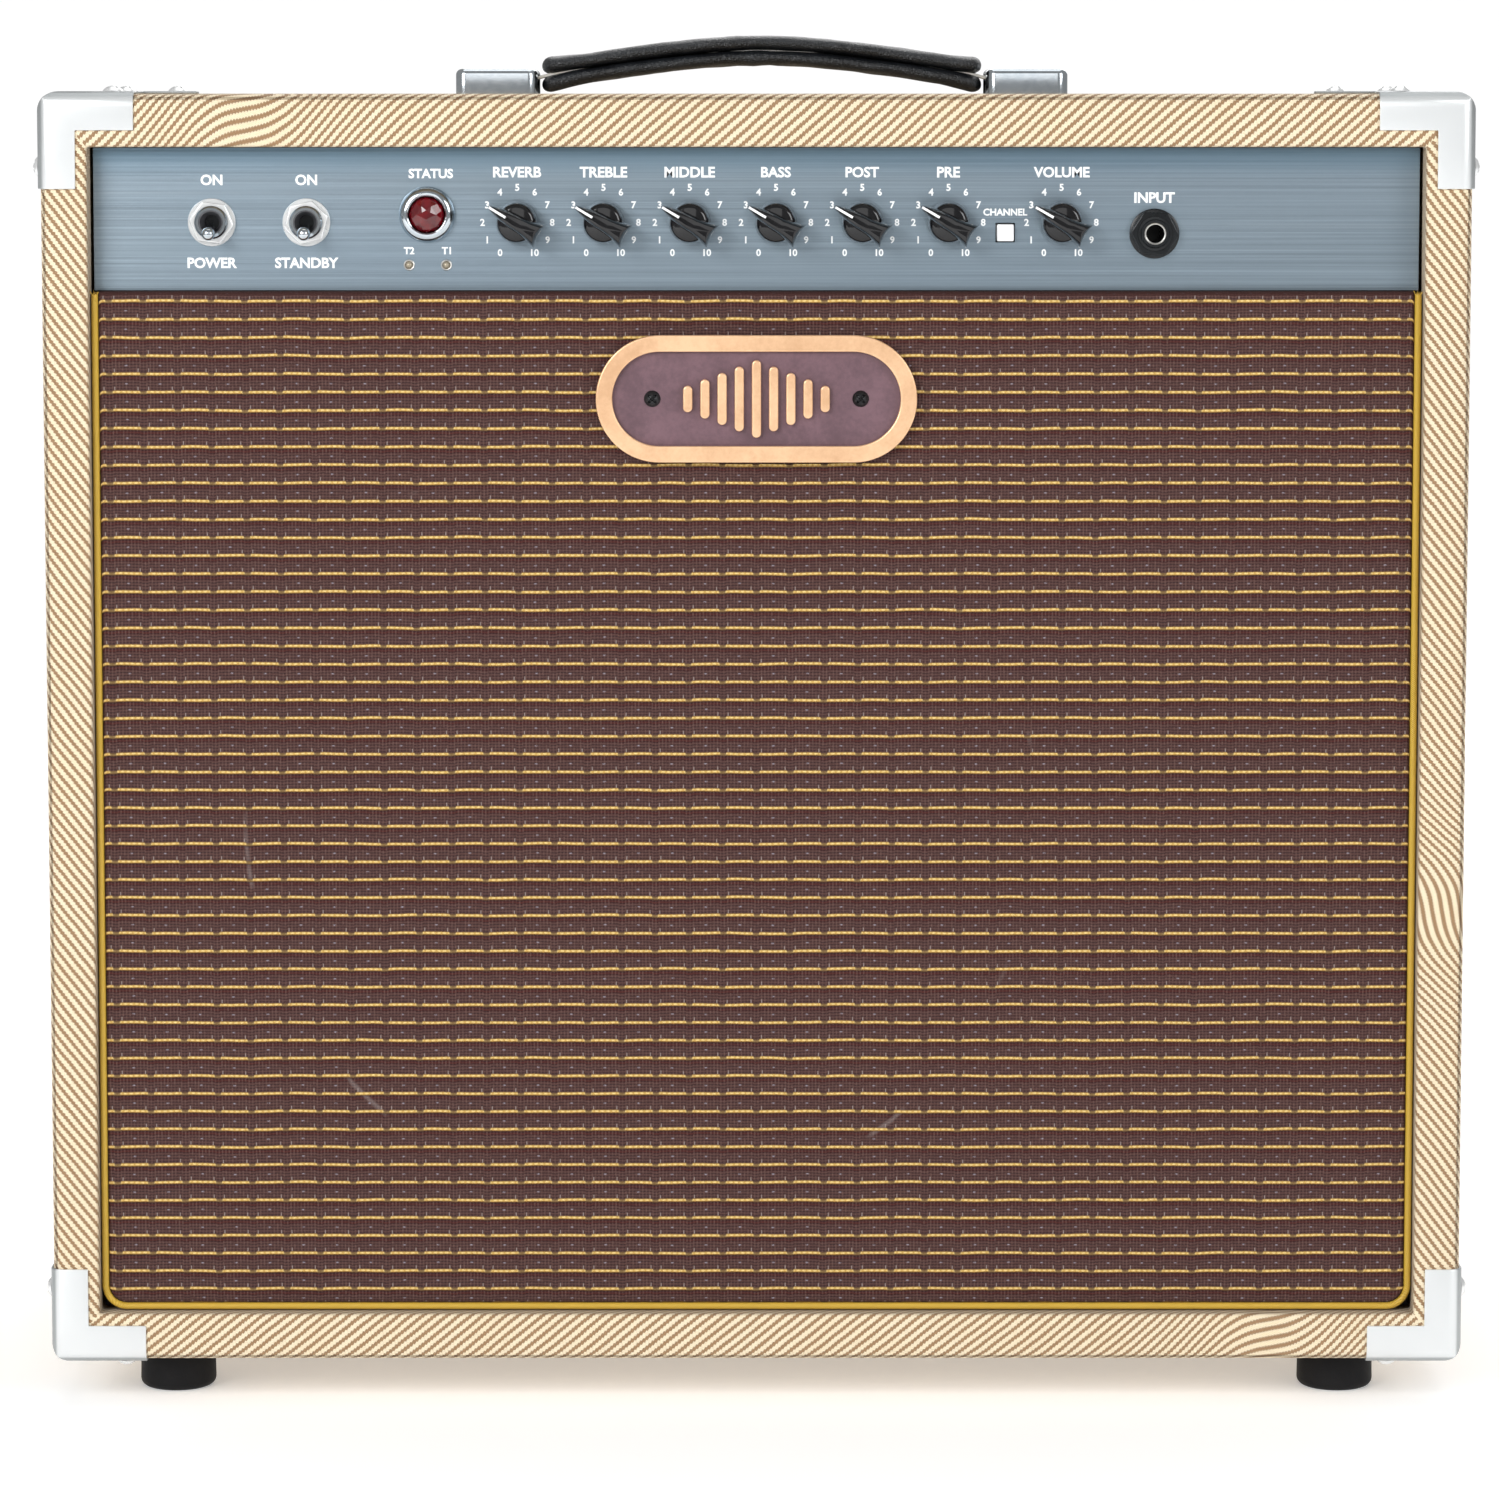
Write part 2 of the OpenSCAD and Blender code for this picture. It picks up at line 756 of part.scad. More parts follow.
// a quarter-inch jack: nut, bushing with its bore, and body, facing -Y
module jack(body_w, nut_r, bush_r, plate_t) {
    difference() {
        union() {
            translate([0, -5.5, 0]) rotate([-90, 0, 0]) cylinder(r = bush_r, h = 6 + plate_t);
            translate([-body_w / 2, plate_t + 0.1, -body_w / 2]) cube([body_w, 24, body_w]);
        }
        translate([0, -6, 0]) rotate([-90, 0, 0]) cylinder(r = jack_r, h = jack_depth + 0.5);
        translate([0, -5.52, 0]) rotate([-90, 0, 0])
            cylinder(r1 = jack_r + 0.5, r2 = jack_r, h = 0.5);
    }
    difference() {
        translate([0, -4, 0]) rotate([-90, 0, 0]) cylinder(r = nut_r, h = 3.98);
        translate([0, -5, 0]) rotate([-90, 0, 0]) cylinder(r = bush_r + 0.05, h = 6);
    }
}

module input_jack() {
    color("black") translate([input_at[0], panel_y, input_at[1]]) jack(21, 9, 6.15, panel_t);
}

module rear_jacks() {
    color("black") for (at = sockets_at) translate([at[0], chassis_y1, at[1]])
        rotate([0, 0, 180]) jack(20, 7.5, 4.75, sheet_t);
}

// ---------- electronics ----------

module circuit_board() {
    color("darkgreen") translate([-150, chassis_y0 + 30, chassis_z0 + 6]) cube([330, 120, 1.6]);
    color("gray") for (i = [0:5])
        translate([-120 + i * 50, chassis_y0 + 100, chassis_z0 + 7.62]) cylinder(r = 8, h = 26);
}

// a laminated core with its winding and two end bells, hung under the chassis
module transformer(size, at) {
    top = chassis_z0 - 0.05;
    translate([at[0], at[1], top - size[2] / 2]) {
        cube([size[0], size[1] * 0.45, size[2]], center = true);
        cube([size[0] * 0.66, size[1], size[2] * 0.66], center = true);
    }
    translate([at[0], at[1], top - 1]) cube([size[0] + 16, size[1] * 0.45, 2], center = true);
}

module power_transformer() { color("dimgray") transformer(power_tf, power_tf_at); }
module output_transformer() { color("dimgray") transformer(output_tf, output_tf_at); }

module tube_sockets() {
    color("ivory") for (x = concat(power_tube_x, preamp_tube_x))
        translate([x, tube_y, chassis_z0 - socket_h - 0.05]) difference() {
            cylinder(r = 12, h = socket_h);
            translate([0, 0, -1]) cylinder(r = 3, h = socket_h + 2);
        }
}

// a glass tube that hangs down, hollow, with its anode inside
module tube(x, h) {
    r = 11;
    wall = 1;
    translate([x, tube_y, chassis_z0 - socket_h - 0.1]) mirror([0, 0, 1]) {
        color("lightcyan") rotate_extrude($fn = 48) difference() {
            tube_outline(r, h);
            intersection() {
                translate([0, wall]) tube_outline(r - wall, h - 2 * wall);
                square([r, h]);
            }
        }
        color("gray") translate([0, 0, 8]) cylinder(r = 6, h = h - 26);
    }
}

// half of a tube's outline: a straight wall, a round shoulder and a tip
module tube_outline(r, h) {
    square([r, h - 12]);
    translate([0, h - 12]) intersection() {
        circle(r);
        square([r, r]);
    }
    translate([0, h - 6]) square([1.6, 6]);
}

module power_tubes() { for (x = power_tube_x) tube(x, 72); }
module preamp_tubes() { for (x = preamp_tube_x) tube(x, 50); }

// a closed steel tank with a fixing flange at each end
module reverb_tank() {
    flange = 12;
    color("gray") translate([-tank[0] / 2, tank_y, in_z0 + 0.1]) difference() {
        union() {
            cube(tank);
            translate([-flange, 0, 0]) cube([tank[0] + 2 * flange, tank[1], sheet_t]);
        }
        translate([sheet_t, sheet_t, sheet_t]) cube(tank - 2 * [sheet_t, sheet_t, sheet_t]);
    }
}

// a panel-mounted mains inlet with three flat pins, facing +Y
module mains_inlet() {
    color("black") translate([inlet_x, chassis_y1, rear_socket_z]) {
        difference() {
            union() {
                translate([-24, 0.02, -12]) cube([48, 3, 24]);
                translate([-13.6, -17, -10.1]) cube([27.2, 18, 20.2]);
            }
            translate([-12.1, -13.5, -8.1]) cube([24.2, 20, 16.2]);
        }
        for (x = [-7, 0, 7]) translate([x - 1, -14, x == 0 ? -5 : -2]) cube([2, 10, 4]);
    }
}

// ---------- loudspeaker ----------

function speaker_at() = [-speaker_left, speaker_z];

// the eight bolt places round the loudspeaker's rim, as front-to-back axes
module at_speaker_bolts() {
    for (i = [0:bolt_count - 1]) {
        a = (i + 0.5) * 360 / bolt_count;
        translate([-speaker_left + bolt_ring_r * cos(a), 0, speaker_z + bolt_ring_r * sin(a)])
            children();
    }
}

module speaker_gasket() {
    color("darkkhaki") difference() {
        turned_y(speaker_at(), baffle_back + 0.02)
            translate([cut_r + 0.5, 0]) square([speaker_r - cut_r - 0.5, gasket_t - 0.04]);
        at_speaker_bolts() bar_y([0, 0], baffle_back - 1, 2.5, gasket_t + 2);
    }
}

// pressed steel basket with eight windows and a terminal strip
module speaker_basket() {
    rim_in = cut_r - 3;
    color("dimgray") {
        difference() {
            turned_y(speaker_at(), flange_y) polygon([
                [rim_in, 0], [speaker_r, 0], [speaker_r, 2], [rim_in + 2, 2],
                [magnet_r, basket_depth], [magnet_r, basket_depth + 3],
                [27, basket_depth + 3], [27, basket_depth], [magnet_r - 3, basket_depth]
            ]);
            for (i = [0:7]) translate([-speaker_left, flange_y + 8, speaker_z])
                rotate([0, i * 45, 0]) basket_window();
            at_speaker_bolts() bar_y([0, 0], flange_y - 1, 2.5, 5);
        }
        translate(terminal_at - [7, 0, 6]) cube([14, 12, 12]);
    }
}

// what one window takes out of the basket wall
module basket_window() {
    translate([0, basket_depth - 12, 0]) rotate([90, 0, 0]) linear_extrude(basket_depth - 12)
        polygon([[78, -15], [131, -25], [131, 25], [78, 15]]);
}

// ring magnet between two plates, with the pole piece and the coil's gap
module speaker_magnet() {
    color("silver") turned_y(speaker_at(), flange_y + basket_depth + 3.05) polygon([
        [26.4, 0], [62, 0], [62, 8], [magnet_r, 8], [magnet_r, magnet_h - 8],
        [64, magnet_h - 8], [64, magnet_h], [0, magnet_h], [0, 0], [24, 0],
        [24, magnet_h - 12], [32, magnet_h - 12], [32, 8], [26.4, 8]
    ]);
}

// the roll surround at the rim and the corrugated disc at the coil
module speaker_suspension() {
    color("black") turned_y(speaker_at(), flange_y) {
        difference() {
            translate([cone_r + 6, -1]) circle(5.6, $fn = 48);
            translate([cone_r + 6, -1]) circle(4.8, $fn = 48);
            translate([cone_r - 2, -1]) square([20, 10]);
        }
        translate([cone_r + 10.8, -1]) square([1.9, 0.95]);
    }
    color("goldenrod") turned_y(speaker_at(), flange_y + basket_depth - 6) polygon([
        [26.2, 0], [34, 0], [36, 2], [40, 0], [44, 2], [48, 0], [52, 2], [56, 0], [58, 5.9],
        [57, 5.9], [55, 1], [52, 3], [48, 1], [44, 3], [40, 1], [36, 3], [33, 1], [26.2, 1]
    ]);
}

// paper cone with a straight rim, its dust cap and the voice coil
module speaker_cone() {
    depth = 44;
    color("dimgray") turned_y(speaker_at(), flange_y) {
        polygon([
            [cone_r, -2], [cone_r, 5], [coil_r + 2, depth + 1.2], [coil_r + 0.4, depth + 1.2],
            [coil_r + 0.4, basket_depth + 10], [coil_r - 0.4, basket_depth + 10],
            [coil_r - 0.4, depth - 0.4], [cone_r - 1.2, 4], [cone_r - 1.2, -2]
        ]);
        intersection() {
            difference() {
                translate([0, 78]) circle(47, $fn = 96);
                translate([0, 78]) circle(46.2, $fn = 96);
            }
            square([31, 60]);
        }
    }
}

module speaker_bolts() {
    color("silver") at_speaker_bolts() {
        bar_y([0, 0], baffle_back - 10, 2, gasket_t + 13);
        bar_y([0, 0], flange_y + 2.02, 4.2, 2.5, $fn = 6);
    }
}

// ---------- loudspeaker lead ----------

// a ring of points round the route's point i, square to the route there
function along(p, i) =
    let (a = p[max(i - 1, 0)], b = p[min(i + 1, len(p) - 1)]) (b - a) / norm(b - a);
function ring(p, i, r, sides) =
    let (t = along(p, i), u = cross(t, [0, 1, 0.01]) / norm(cross(t, [0, 1, 0.01])), v = cross(t, u))
    [for (k = [0:sides - 1]) p[i] + r * (cos(k * 360 / sides) * u + sin(k * 360 / sides) * v)];

// one smooth tube along a route
module swept_tube(p, r, sides) {
    n = len(p);
    points = [for (i = [0:n - 1]) each ring(p, i, r, sides)];
    walls = [for (i = [0:n - 2], k = [0:sides - 1]) [
        i * sides + k, i * sides + (k + 1) % sides,
        (i + 1) * sides + (k + 1) % sides, (i + 1) * sides + k
    ]];
    start = [[for (k = [0:sides - 1]) sides - 1 - k]];
    finish = [[for (k = [0:sides - 1]) (n - 1) * sides + k]];
    polyhedron(points, concat(walls, start, finish), convexity = 4);
}

// a route rounded by a curve through its points
function spline_at(p, i, t) =
    let (a = p[max(i - 1, 0)], b = p[i], c = p[i + 1], d = p[min(i + 2, len(p) - 1)])
    0.5 * (2 * b + (c - a) * t + (2 * a - 5 * b + 4 * c - d) * t * t
        + (3 * b - a - 3 * c + d) * t * t * t);
function smooth_route(p, steps) = concat(
    [for (i = [0:len(p) - 2], k = [0:steps - 1]) spline_at(p, i, k / steps)], [p[len(p) - 1]]);

module speaker_lead() {
    color("darkred") swept_tube(smooth_route(lead_route, 3), lead_r, 8);
}

// ---------- every node ----------

top_board();
bottom_board();
left_board();
right_board();
mounting_battens();
tweed_covering();
front_corner_caps();
rear_corner_caps();
corner_cap_screws();
rubber_feet();
wood_screws();
speaker_baffle();
grille_frame();
grille_cloth();
grille_piping();
badge_backing();
badge_plate();
badge_screws();
handle_strap();
handle_core();
handle_end_caps();
back_panel_upper();
back_panel_lower();
control_panel();
chassis();
potentiometers();
pot_nuts();
reverb_knob();
treble_knob();
middle_knob();
bass_knob();
post_gain_knob();
pre_gain_knob();
volume_knob();
toggle_switches();
toggle_nuts();
power_lever();
standby_lever();
pilot_bezel();
pilot_jewel();
status_leds();
channel_button();
channel_switch();
input_jack();
circuit_board();
power_transformer();
output_transformer();
tube_sockets();
power_tubes();
preamp_tubes();
reverb_tank();
mains_inlet();
rear_jacks();
speaker_lead();
speaker_basket();
speaker_gasket();
speaker_magnet();
speaker_suspension();
speaker_cone();
speaker_bolts();
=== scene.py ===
import json
import math

import bmesh
import bpy
from mathutils import Matrix, Vector, noise


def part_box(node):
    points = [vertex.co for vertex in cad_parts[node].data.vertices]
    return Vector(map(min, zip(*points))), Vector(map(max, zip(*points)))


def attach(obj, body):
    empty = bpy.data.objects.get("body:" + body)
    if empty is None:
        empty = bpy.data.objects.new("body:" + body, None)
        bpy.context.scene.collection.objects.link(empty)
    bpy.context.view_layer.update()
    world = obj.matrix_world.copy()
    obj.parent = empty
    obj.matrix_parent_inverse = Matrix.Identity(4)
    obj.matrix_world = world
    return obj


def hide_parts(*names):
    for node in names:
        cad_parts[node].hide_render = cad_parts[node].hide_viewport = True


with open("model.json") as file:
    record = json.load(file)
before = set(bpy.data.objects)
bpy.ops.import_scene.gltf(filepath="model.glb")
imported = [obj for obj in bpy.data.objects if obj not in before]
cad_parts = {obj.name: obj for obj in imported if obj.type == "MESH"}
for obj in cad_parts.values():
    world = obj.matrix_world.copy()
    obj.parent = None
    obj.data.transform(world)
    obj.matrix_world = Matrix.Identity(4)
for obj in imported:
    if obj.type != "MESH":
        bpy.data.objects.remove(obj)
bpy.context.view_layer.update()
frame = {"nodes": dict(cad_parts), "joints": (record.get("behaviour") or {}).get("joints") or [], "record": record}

bl_info = {
    "name": "Guitar combo amplifier",
    "version": (1, 0, 0),
    "blender": (4, 5, 0),
    "location": "3D View > Sidebar > Amplifier",
    "description": "Builds a cloth-covered guitar combo amplifier around its CAD frame",
    "category": "Add Mesh",
}

MM = 0.001
JACK_BORE_R, JACK_FLOOR = 3.25, -19.7
DUST_CAP_R = 31.0
FRONT, BACK, UP = Vector((0, -1, 0)), Vector((0, 1, 0)), Vector((0, 0, 1))


# ---------- sizes and colours that can be changed ----------

class ClothSettings(bpy.types.PropertyGroup):
    stripe_pitch: bpy.props.FloatProperty(
        name="Stripe pitch", description="Distance between stripes along an edge, in millimetres",
        default=4.45, min=2.0, max=12.0)
    stripe_lean: bpy.props.FloatProperty(
        name="Stripe lean", description="Run of a stripe along the edge for each unit inwards",
        default=1.25, min=0.0, max=3.0)
    cream: bpy.props.FloatVectorProperty(
        name="Cream", description="Light threads of the covering", subtype="COLOR",
        default=(0.90, 0.79, 0.59), min=0.0, max=1.0)
    brown: bpy.props.FloatVectorProperty(
        name="Brown", description="Dark threads of the covering", subtype="COLOR",
        default=(0.30, 0.175, 0.085), min=0.0, max=1.0)
    line_pitch: bpy.props.FloatProperty(
        name="Line pitch", description="Distance between the grille's gold lines, in millimetres",
        default=6.58, min=3.0, max=15.0)
    dash_pitch: bpy.props.FloatProperty(
        name="Dash pitch", description="Distance between breaks in a gold line, in millimetres",
        default=12.3, min=5.0, max=30.0)
    gold: bpy.props.FloatVectorProperty(
        name="Gold", description="Gold thread of the grille cloth", subtype="COLOR",
        default=(0.74, 0.50, 0.15), min=0.0, max=1.0)
    piping: bpy.props.FloatVectorProperty(
        name="Piping", description="Cord round the grille", subtype="COLOR",
        default=(0.85, 0.56, 0.07), min=0.0, max=1.0)


class PanelSettings(bpy.types.PropertyGroup):
    steel: bpy.props.FloatVectorProperty(
        name="Steel", description="Tone of the brushed panel", subtype="COLOR",
        default=(0.27, 0.335, 0.385), min=0.0, max=1.0)
    label_height: bpy.props.FloatProperty(
        name="Label height", description="Height of the capital letters, in millimetres",
        default=3.9, min=2.0, max=6.0)
    number_height: bpy.props.FloatProperty(
        name="Number height", description="Height of the dial numbers, in millimetres",
        default=2.6, min=1.5, max=4.0)
    dial_radius: bpy.props.FloatProperty(
        name="Dial radius", description="Radius of the ring of numbers, in millimetres",
        default=12.6, min=10.0, max=14.0)
    jewel: bpy.props.FloatVectorProperty(
        name="Jewel", description="Colour of the pilot jewel", subtype="COLOR",
        default=(0.085, 0.001, 0.004), min=0.0, max=1.0)


class StageSettings(bpy.types.PropertyGroup):
    distance: bpy.props.FloatProperty(
        name="Camera distance", description="From the lens to the cabinet's front",
        default=2.0, min=0.5, max=5.0, unit="LENGTH")
    height: bpy.props.FloatProperty(
        name="Camera height", description="Height of the lens above the floor",
        default=0.4803, min=0.0, max=3.0, unit="LENGTH")
    lens: bpy.props.FloatProperty(
        name="Lens", description="Focal length in millimetres", default=133.3, min=20, max=300)
    tilt: bpy.props.FloatProperty(
        name="Camera tilt", description="How far the camera looks down, in degrees",
        default=5.55, min=0.0, max=30.0)
    ambient: bpy.props.FloatProperty(
        name="Ambient", description="Strength of the light from all round", default=0.36,
        min=0.0, max=2.0)
    floor: bpy.props.FloatVectorProperty(
        name="Floor", description="Colour of the floor", subtype="COLOR",
        default=(0.94, 0.94, 0.94), min=0.0, max=1.0)


# ---------- shading helpers ----------

def feed(socket, value):
    """Links a socket or sets a plain value on it."""
    if isinstance(value, Value):
        value = value.socket
    if isinstance(value, bpy.types.NodeSocket):
        socket.id_data.links.new(value, socket)
    else:
        socket.default_value = value


class Value:
    """A node's output that plain arithmetic works on."""

    def __init__(self, socket):
        self.socket = socket

    def do(self, operation, *others):
        made = self.socket.id_data.nodes.new("ShaderNodeMath")
        made.operation = operation
        for socket, value in zip(made.inputs, (self,) + others):
            feed(socket, value)
        return Value(made.outputs[0])

    def __add__(self, other):
        return self.do("ADD", other)

    def __sub__(self, other):
        return self.do("SUBTRACT", other)

    def __mul__(self, other):
        return self.do("MULTIPLY", other)

    def __truediv__(self, other):
        return self.do("DIVIDE", other)

    def flipped(self):
        return self * -1.0 + 1.0

    def part(self):
        return self.do("FRACT")

    def ramp(self, low, high):
        """0 below low and 1 above high, with a smooth step between."""
        made = self.socket.id_data.nodes.new("ShaderNodeMapRange")
        made.interpolation_type = "SMOOTHSTEP"
        feed(made.inputs["Value"], self)
        feed(made.inputs["From Min"], low)
        feed(made.inputs["From Max"], high)
        return Value(made.outputs["Result"])

    def band(self, centre, half, soft):
        """1 within half of the centre, with soft edges."""
        off = (self - centre).do("ABSOLUTE")
        return off.ramp(half - soft, half + soft).flipped()


def noise_at(vector, scale, detail=2.0, rough=0.5):
    made = vector.id_data.nodes.new("ShaderNodeTexNoise")
    feed(made.inputs["Vector"], vector)
    made.inputs["Scale"].default_value = scale
    made.inputs["Detail"].default_value = detail
    made.inputs["Roughness"].default_value = rough
    return Value(made.outputs[0])


def stretched(vector, scale, turn=(0, 0, 0)):
    """The coordinates with each axis scaled, for a grain that runs one way."""
    made = vector.id_data.nodes.new("ShaderNodeMapping")
    feed(made.inputs["Vector"], vector)
    made.inputs["Scale"].default_value = scale
    made.inputs["Rotation"].default_value = turn
    return made.outputs["Vector"]


def mixed(factor, a, b):
    """Colour a at factor 0 and b at 1."""
    made = factor.socket.id_data.nodes.new("ShaderNodeMix")
    made.data_type = "RGBA"
    feed(made.inputs[0], factor)
    feed(made.inputs[6], a)
    feed(made.inputs[7], b)
    return made.outputs[2]


def rgb(*values):
    return tuple(values) + (1.0,)


def split(vector):
    """The first two coordinates."""
    made = vector.id_data.nodes.new("ShaderNodeSeparateXYZ")
    feed(made.inputs[0], vector)
    return Value(made.outputs[0]), Value(made.outputs[1])


def joined(x, y, z=0.0):
    made = x.socket.id_data.nodes.new("ShaderNodeCombineXYZ")
    for socket, value in zip(made.inputs, (x, y, z)):
        feed(socket, value)
    return made.outputs[0]


class Surface:
    """A Principled material and its coordinates."""

    def __init__(self, name, **values):
        self.material = bpy.data.materials.new(name)
        self.material.use_nodes = True
        self.nodes = self.material.node_tree.nodes
        self.shader = self.nodes["Principled BSDF"]
        self.set(**values)
        coordinates = self.nodes.new("ShaderNodeTexCoord")
        self.place = coordinates.outputs["Object"]
        self.uv = coordinates.outputs["UV"]

    def set(self, **values):
        for name, value in values.items():
            feed(self.shader.inputs[name.replace("_", " ")], value)

    def bump(self, height, depth, strength=1.0):
        made = self.nodes.new("ShaderNodeBump")
        made.inputs["Strength"].default_value = strength
        made.inputs["Distance"].default_value = depth
        feed(made.inputs["Height"], height)
        feed(self.shader.inputs["Normal"], made.outputs["Normal"])

    def group(self, tree, **values):
        """Places a node group and returns its outputs."""
        made = self.nodes.new("ShaderNodeGroup")
        made.node_tree = tree
        for name, value in values.items():
            feed(made.inputs[name], value)
        return made.outputs


def new_group(name, inputs, outputs):
    """An empty node group with its named inputs and outputs."""
    tree = bpy.data.node_groups.new(name, "ShaderNodeTree")
    for label, kind in inputs:
        tree.interface.new_socket(label, in_out="INPUT", socket_type="NodeSocket" + kind)
    for label, kind in outputs:
        tree.interface.new_socket(label, in_out="OUTPUT", socket_type="NodeSocket" + kind)
    start = tree.nodes.new("NodeGroupInput").outputs
    end = tree.nodes.new("NodeGroupOutput").inputs
    return tree, start, end


def speckle_group():
    """Uneven colour and a fine value for roughness and relief, on any material."""
    tree = bpy.data.node_groups.get("speckle")
    if tree:
        return tree
    tree, start, end = new_group(
        "speckle",
        [("Vector", "Vector"), ("Scale", "Float"), ("Light", "Color"), ("Dark", "Color")],
        [("Color", "Color"), ("Coarse", "Float"), ("Fine", "Float")])
    coarse = noise_at(start["Vector"], 1.0, 4.0, 0.6)
    feed(coarse.socket.node.inputs["Scale"], start["Scale"])
    fine = noise_at(start["Vector"], 1.0, 3.0, 0.7)
    feed(fine.socket.node.inputs["Scale"], Value(start["Scale"]) * 9.0)
    shade = (coarse * 0.65 + fine * 0.35).ramp(0.32, 0.68)
    feed(end["Color"], mixed(shade, start["Dark"], start["Light"]))
    feed(end["Coarse"], coarse)
    feed(end["Fine"], fine)
    return tree


def stripes_group():
    """Diagonal cream and brown threads with ragged edges, on coordinates in millimetres."""
    tree = bpy.data.node_groups.get("stripes")
    if tree:
        return tree
    tree, start, end = new_group(
        "stripes",
        [("Vector", "Vector"), ("Pitch", "Float"), ("Lean", "Float"),
         ("Cream", "Color"), ("Brown", "Color")],
        [("Color", "Color"), ("Height", "Float")])
    along, inward = split(start["Vector"])
    sway = noise_at(start["Vector"], 0.012, 2.0) - 0.5
    drift = noise_at(start["Vector"], 0.16, 2.0) - 0.5
    phase = (along + inward * Value(start["Lean"])) / Value(start["Pitch"])
    tooth = (along / 1.08).part().do("PINGPONG", 0.5) - 0.25
    spot = (along + 183.0) / 24.0
    on_face = inward.ramp(-2.0, 2.0)
    pull = spot * (spot * spot * -1.0).do("EXPONENT") * on_face * -4.0
    phase = phase + pull + sway * 1.1 + drift * 0.16 + tooth * 0.36
    across = (phase.part() - 0.5).do("ABSOLUTE") * 2.0
    dark = across.ramp(0.47, 0.66)
    hairs = noise_at(start["Vector"], 2.4, 3.0, 0.7)
    patches = noise_at(start["Vector"], 0.05, 3.0)
    strand = (phase * 5.0).part().do("PINGPONG", 0.5) * 2.0
    brown = mixed(hairs.ramp(0.4, 0.75) * 0.7, start["Brown"], rgb(0.46, 0.30, 0.16))
    cream = mixed(hairs.ramp(0.25, 0.6), rgb(0.80, 0.63, 0.40), start["Cream"])
    cream = mixed(patches.ramp(0.35, 0.7) * 0.3, cream, rgb(0.86, 0.70, 0.45))
    cloth = mixed(dark, cream, brown)
    # painted shade: thin darker lines in the creases between the strands of each stripe
    cloth = mixed(strand.ramp(0.0, 0.35).flipped() * 0.22, cloth, rgb(0.42, 0.27, 0.14))
    # painted shade on the cloth turned in round the cabinet's openings, where it lines the recess
    turned_in_shade = inward.ramp(18.5, 21.0) * 0.5
    feed(end["Color"], mixed(turned_in_shade, cloth, rgb(0.22, 0.16, 0.10)))
    feed(end["Height"], dark.flipped() * 0.55 + strand * 0.3 + hairs * 0.35)
    return tree


def mottled(name, light, dark=None, scale=40.0, rough=0.5, swing=0.15, metal=0.0, relief=0.0,
            stretch=None, **extra):
    """A material with uneven colour, roughness and a fine relief."""
    if dark is None:
        dark = tuple(c * 0.72 for c in light)
    surface = Surface(name, Metallic=metal, **extra)
    vector = stretched(surface.place, stretch) if stretch else surface.place
    out = surface.group(speckle_group(), Vector=vector, Scale=scale, Light=rgb(*light),
                        Dark=rgb(*dark))
    surface.set(Base_Color=out["Color"],
                Roughness=Value(out["Coarse"]) * swing + (rough - swing * 0.5))
    if relief:
        surface.bump(out["Fine"], relief)
    return surface.material


# ---------- finishes, one for each material slot of the record ----------

def tweed():
    cloth = bpy.context.scene.amp_cloth
    surface = Surface("tweed", Roughness=0.62, Sheen_Weight=0.15, Specular_IOR_Level=0.35)
    out = surface.group(stripes_group(), Vector=surface.uv, Pitch=cloth.stripe_pitch,
                        Lean=cloth.stripe_lean, Cream=rgb(*cloth.cream), Brown=rgb(*cloth.brown))
    surface.set(Base_Color=out["Color"])
    surface.bump(out["Height"], 0.0004)
    return surface.material


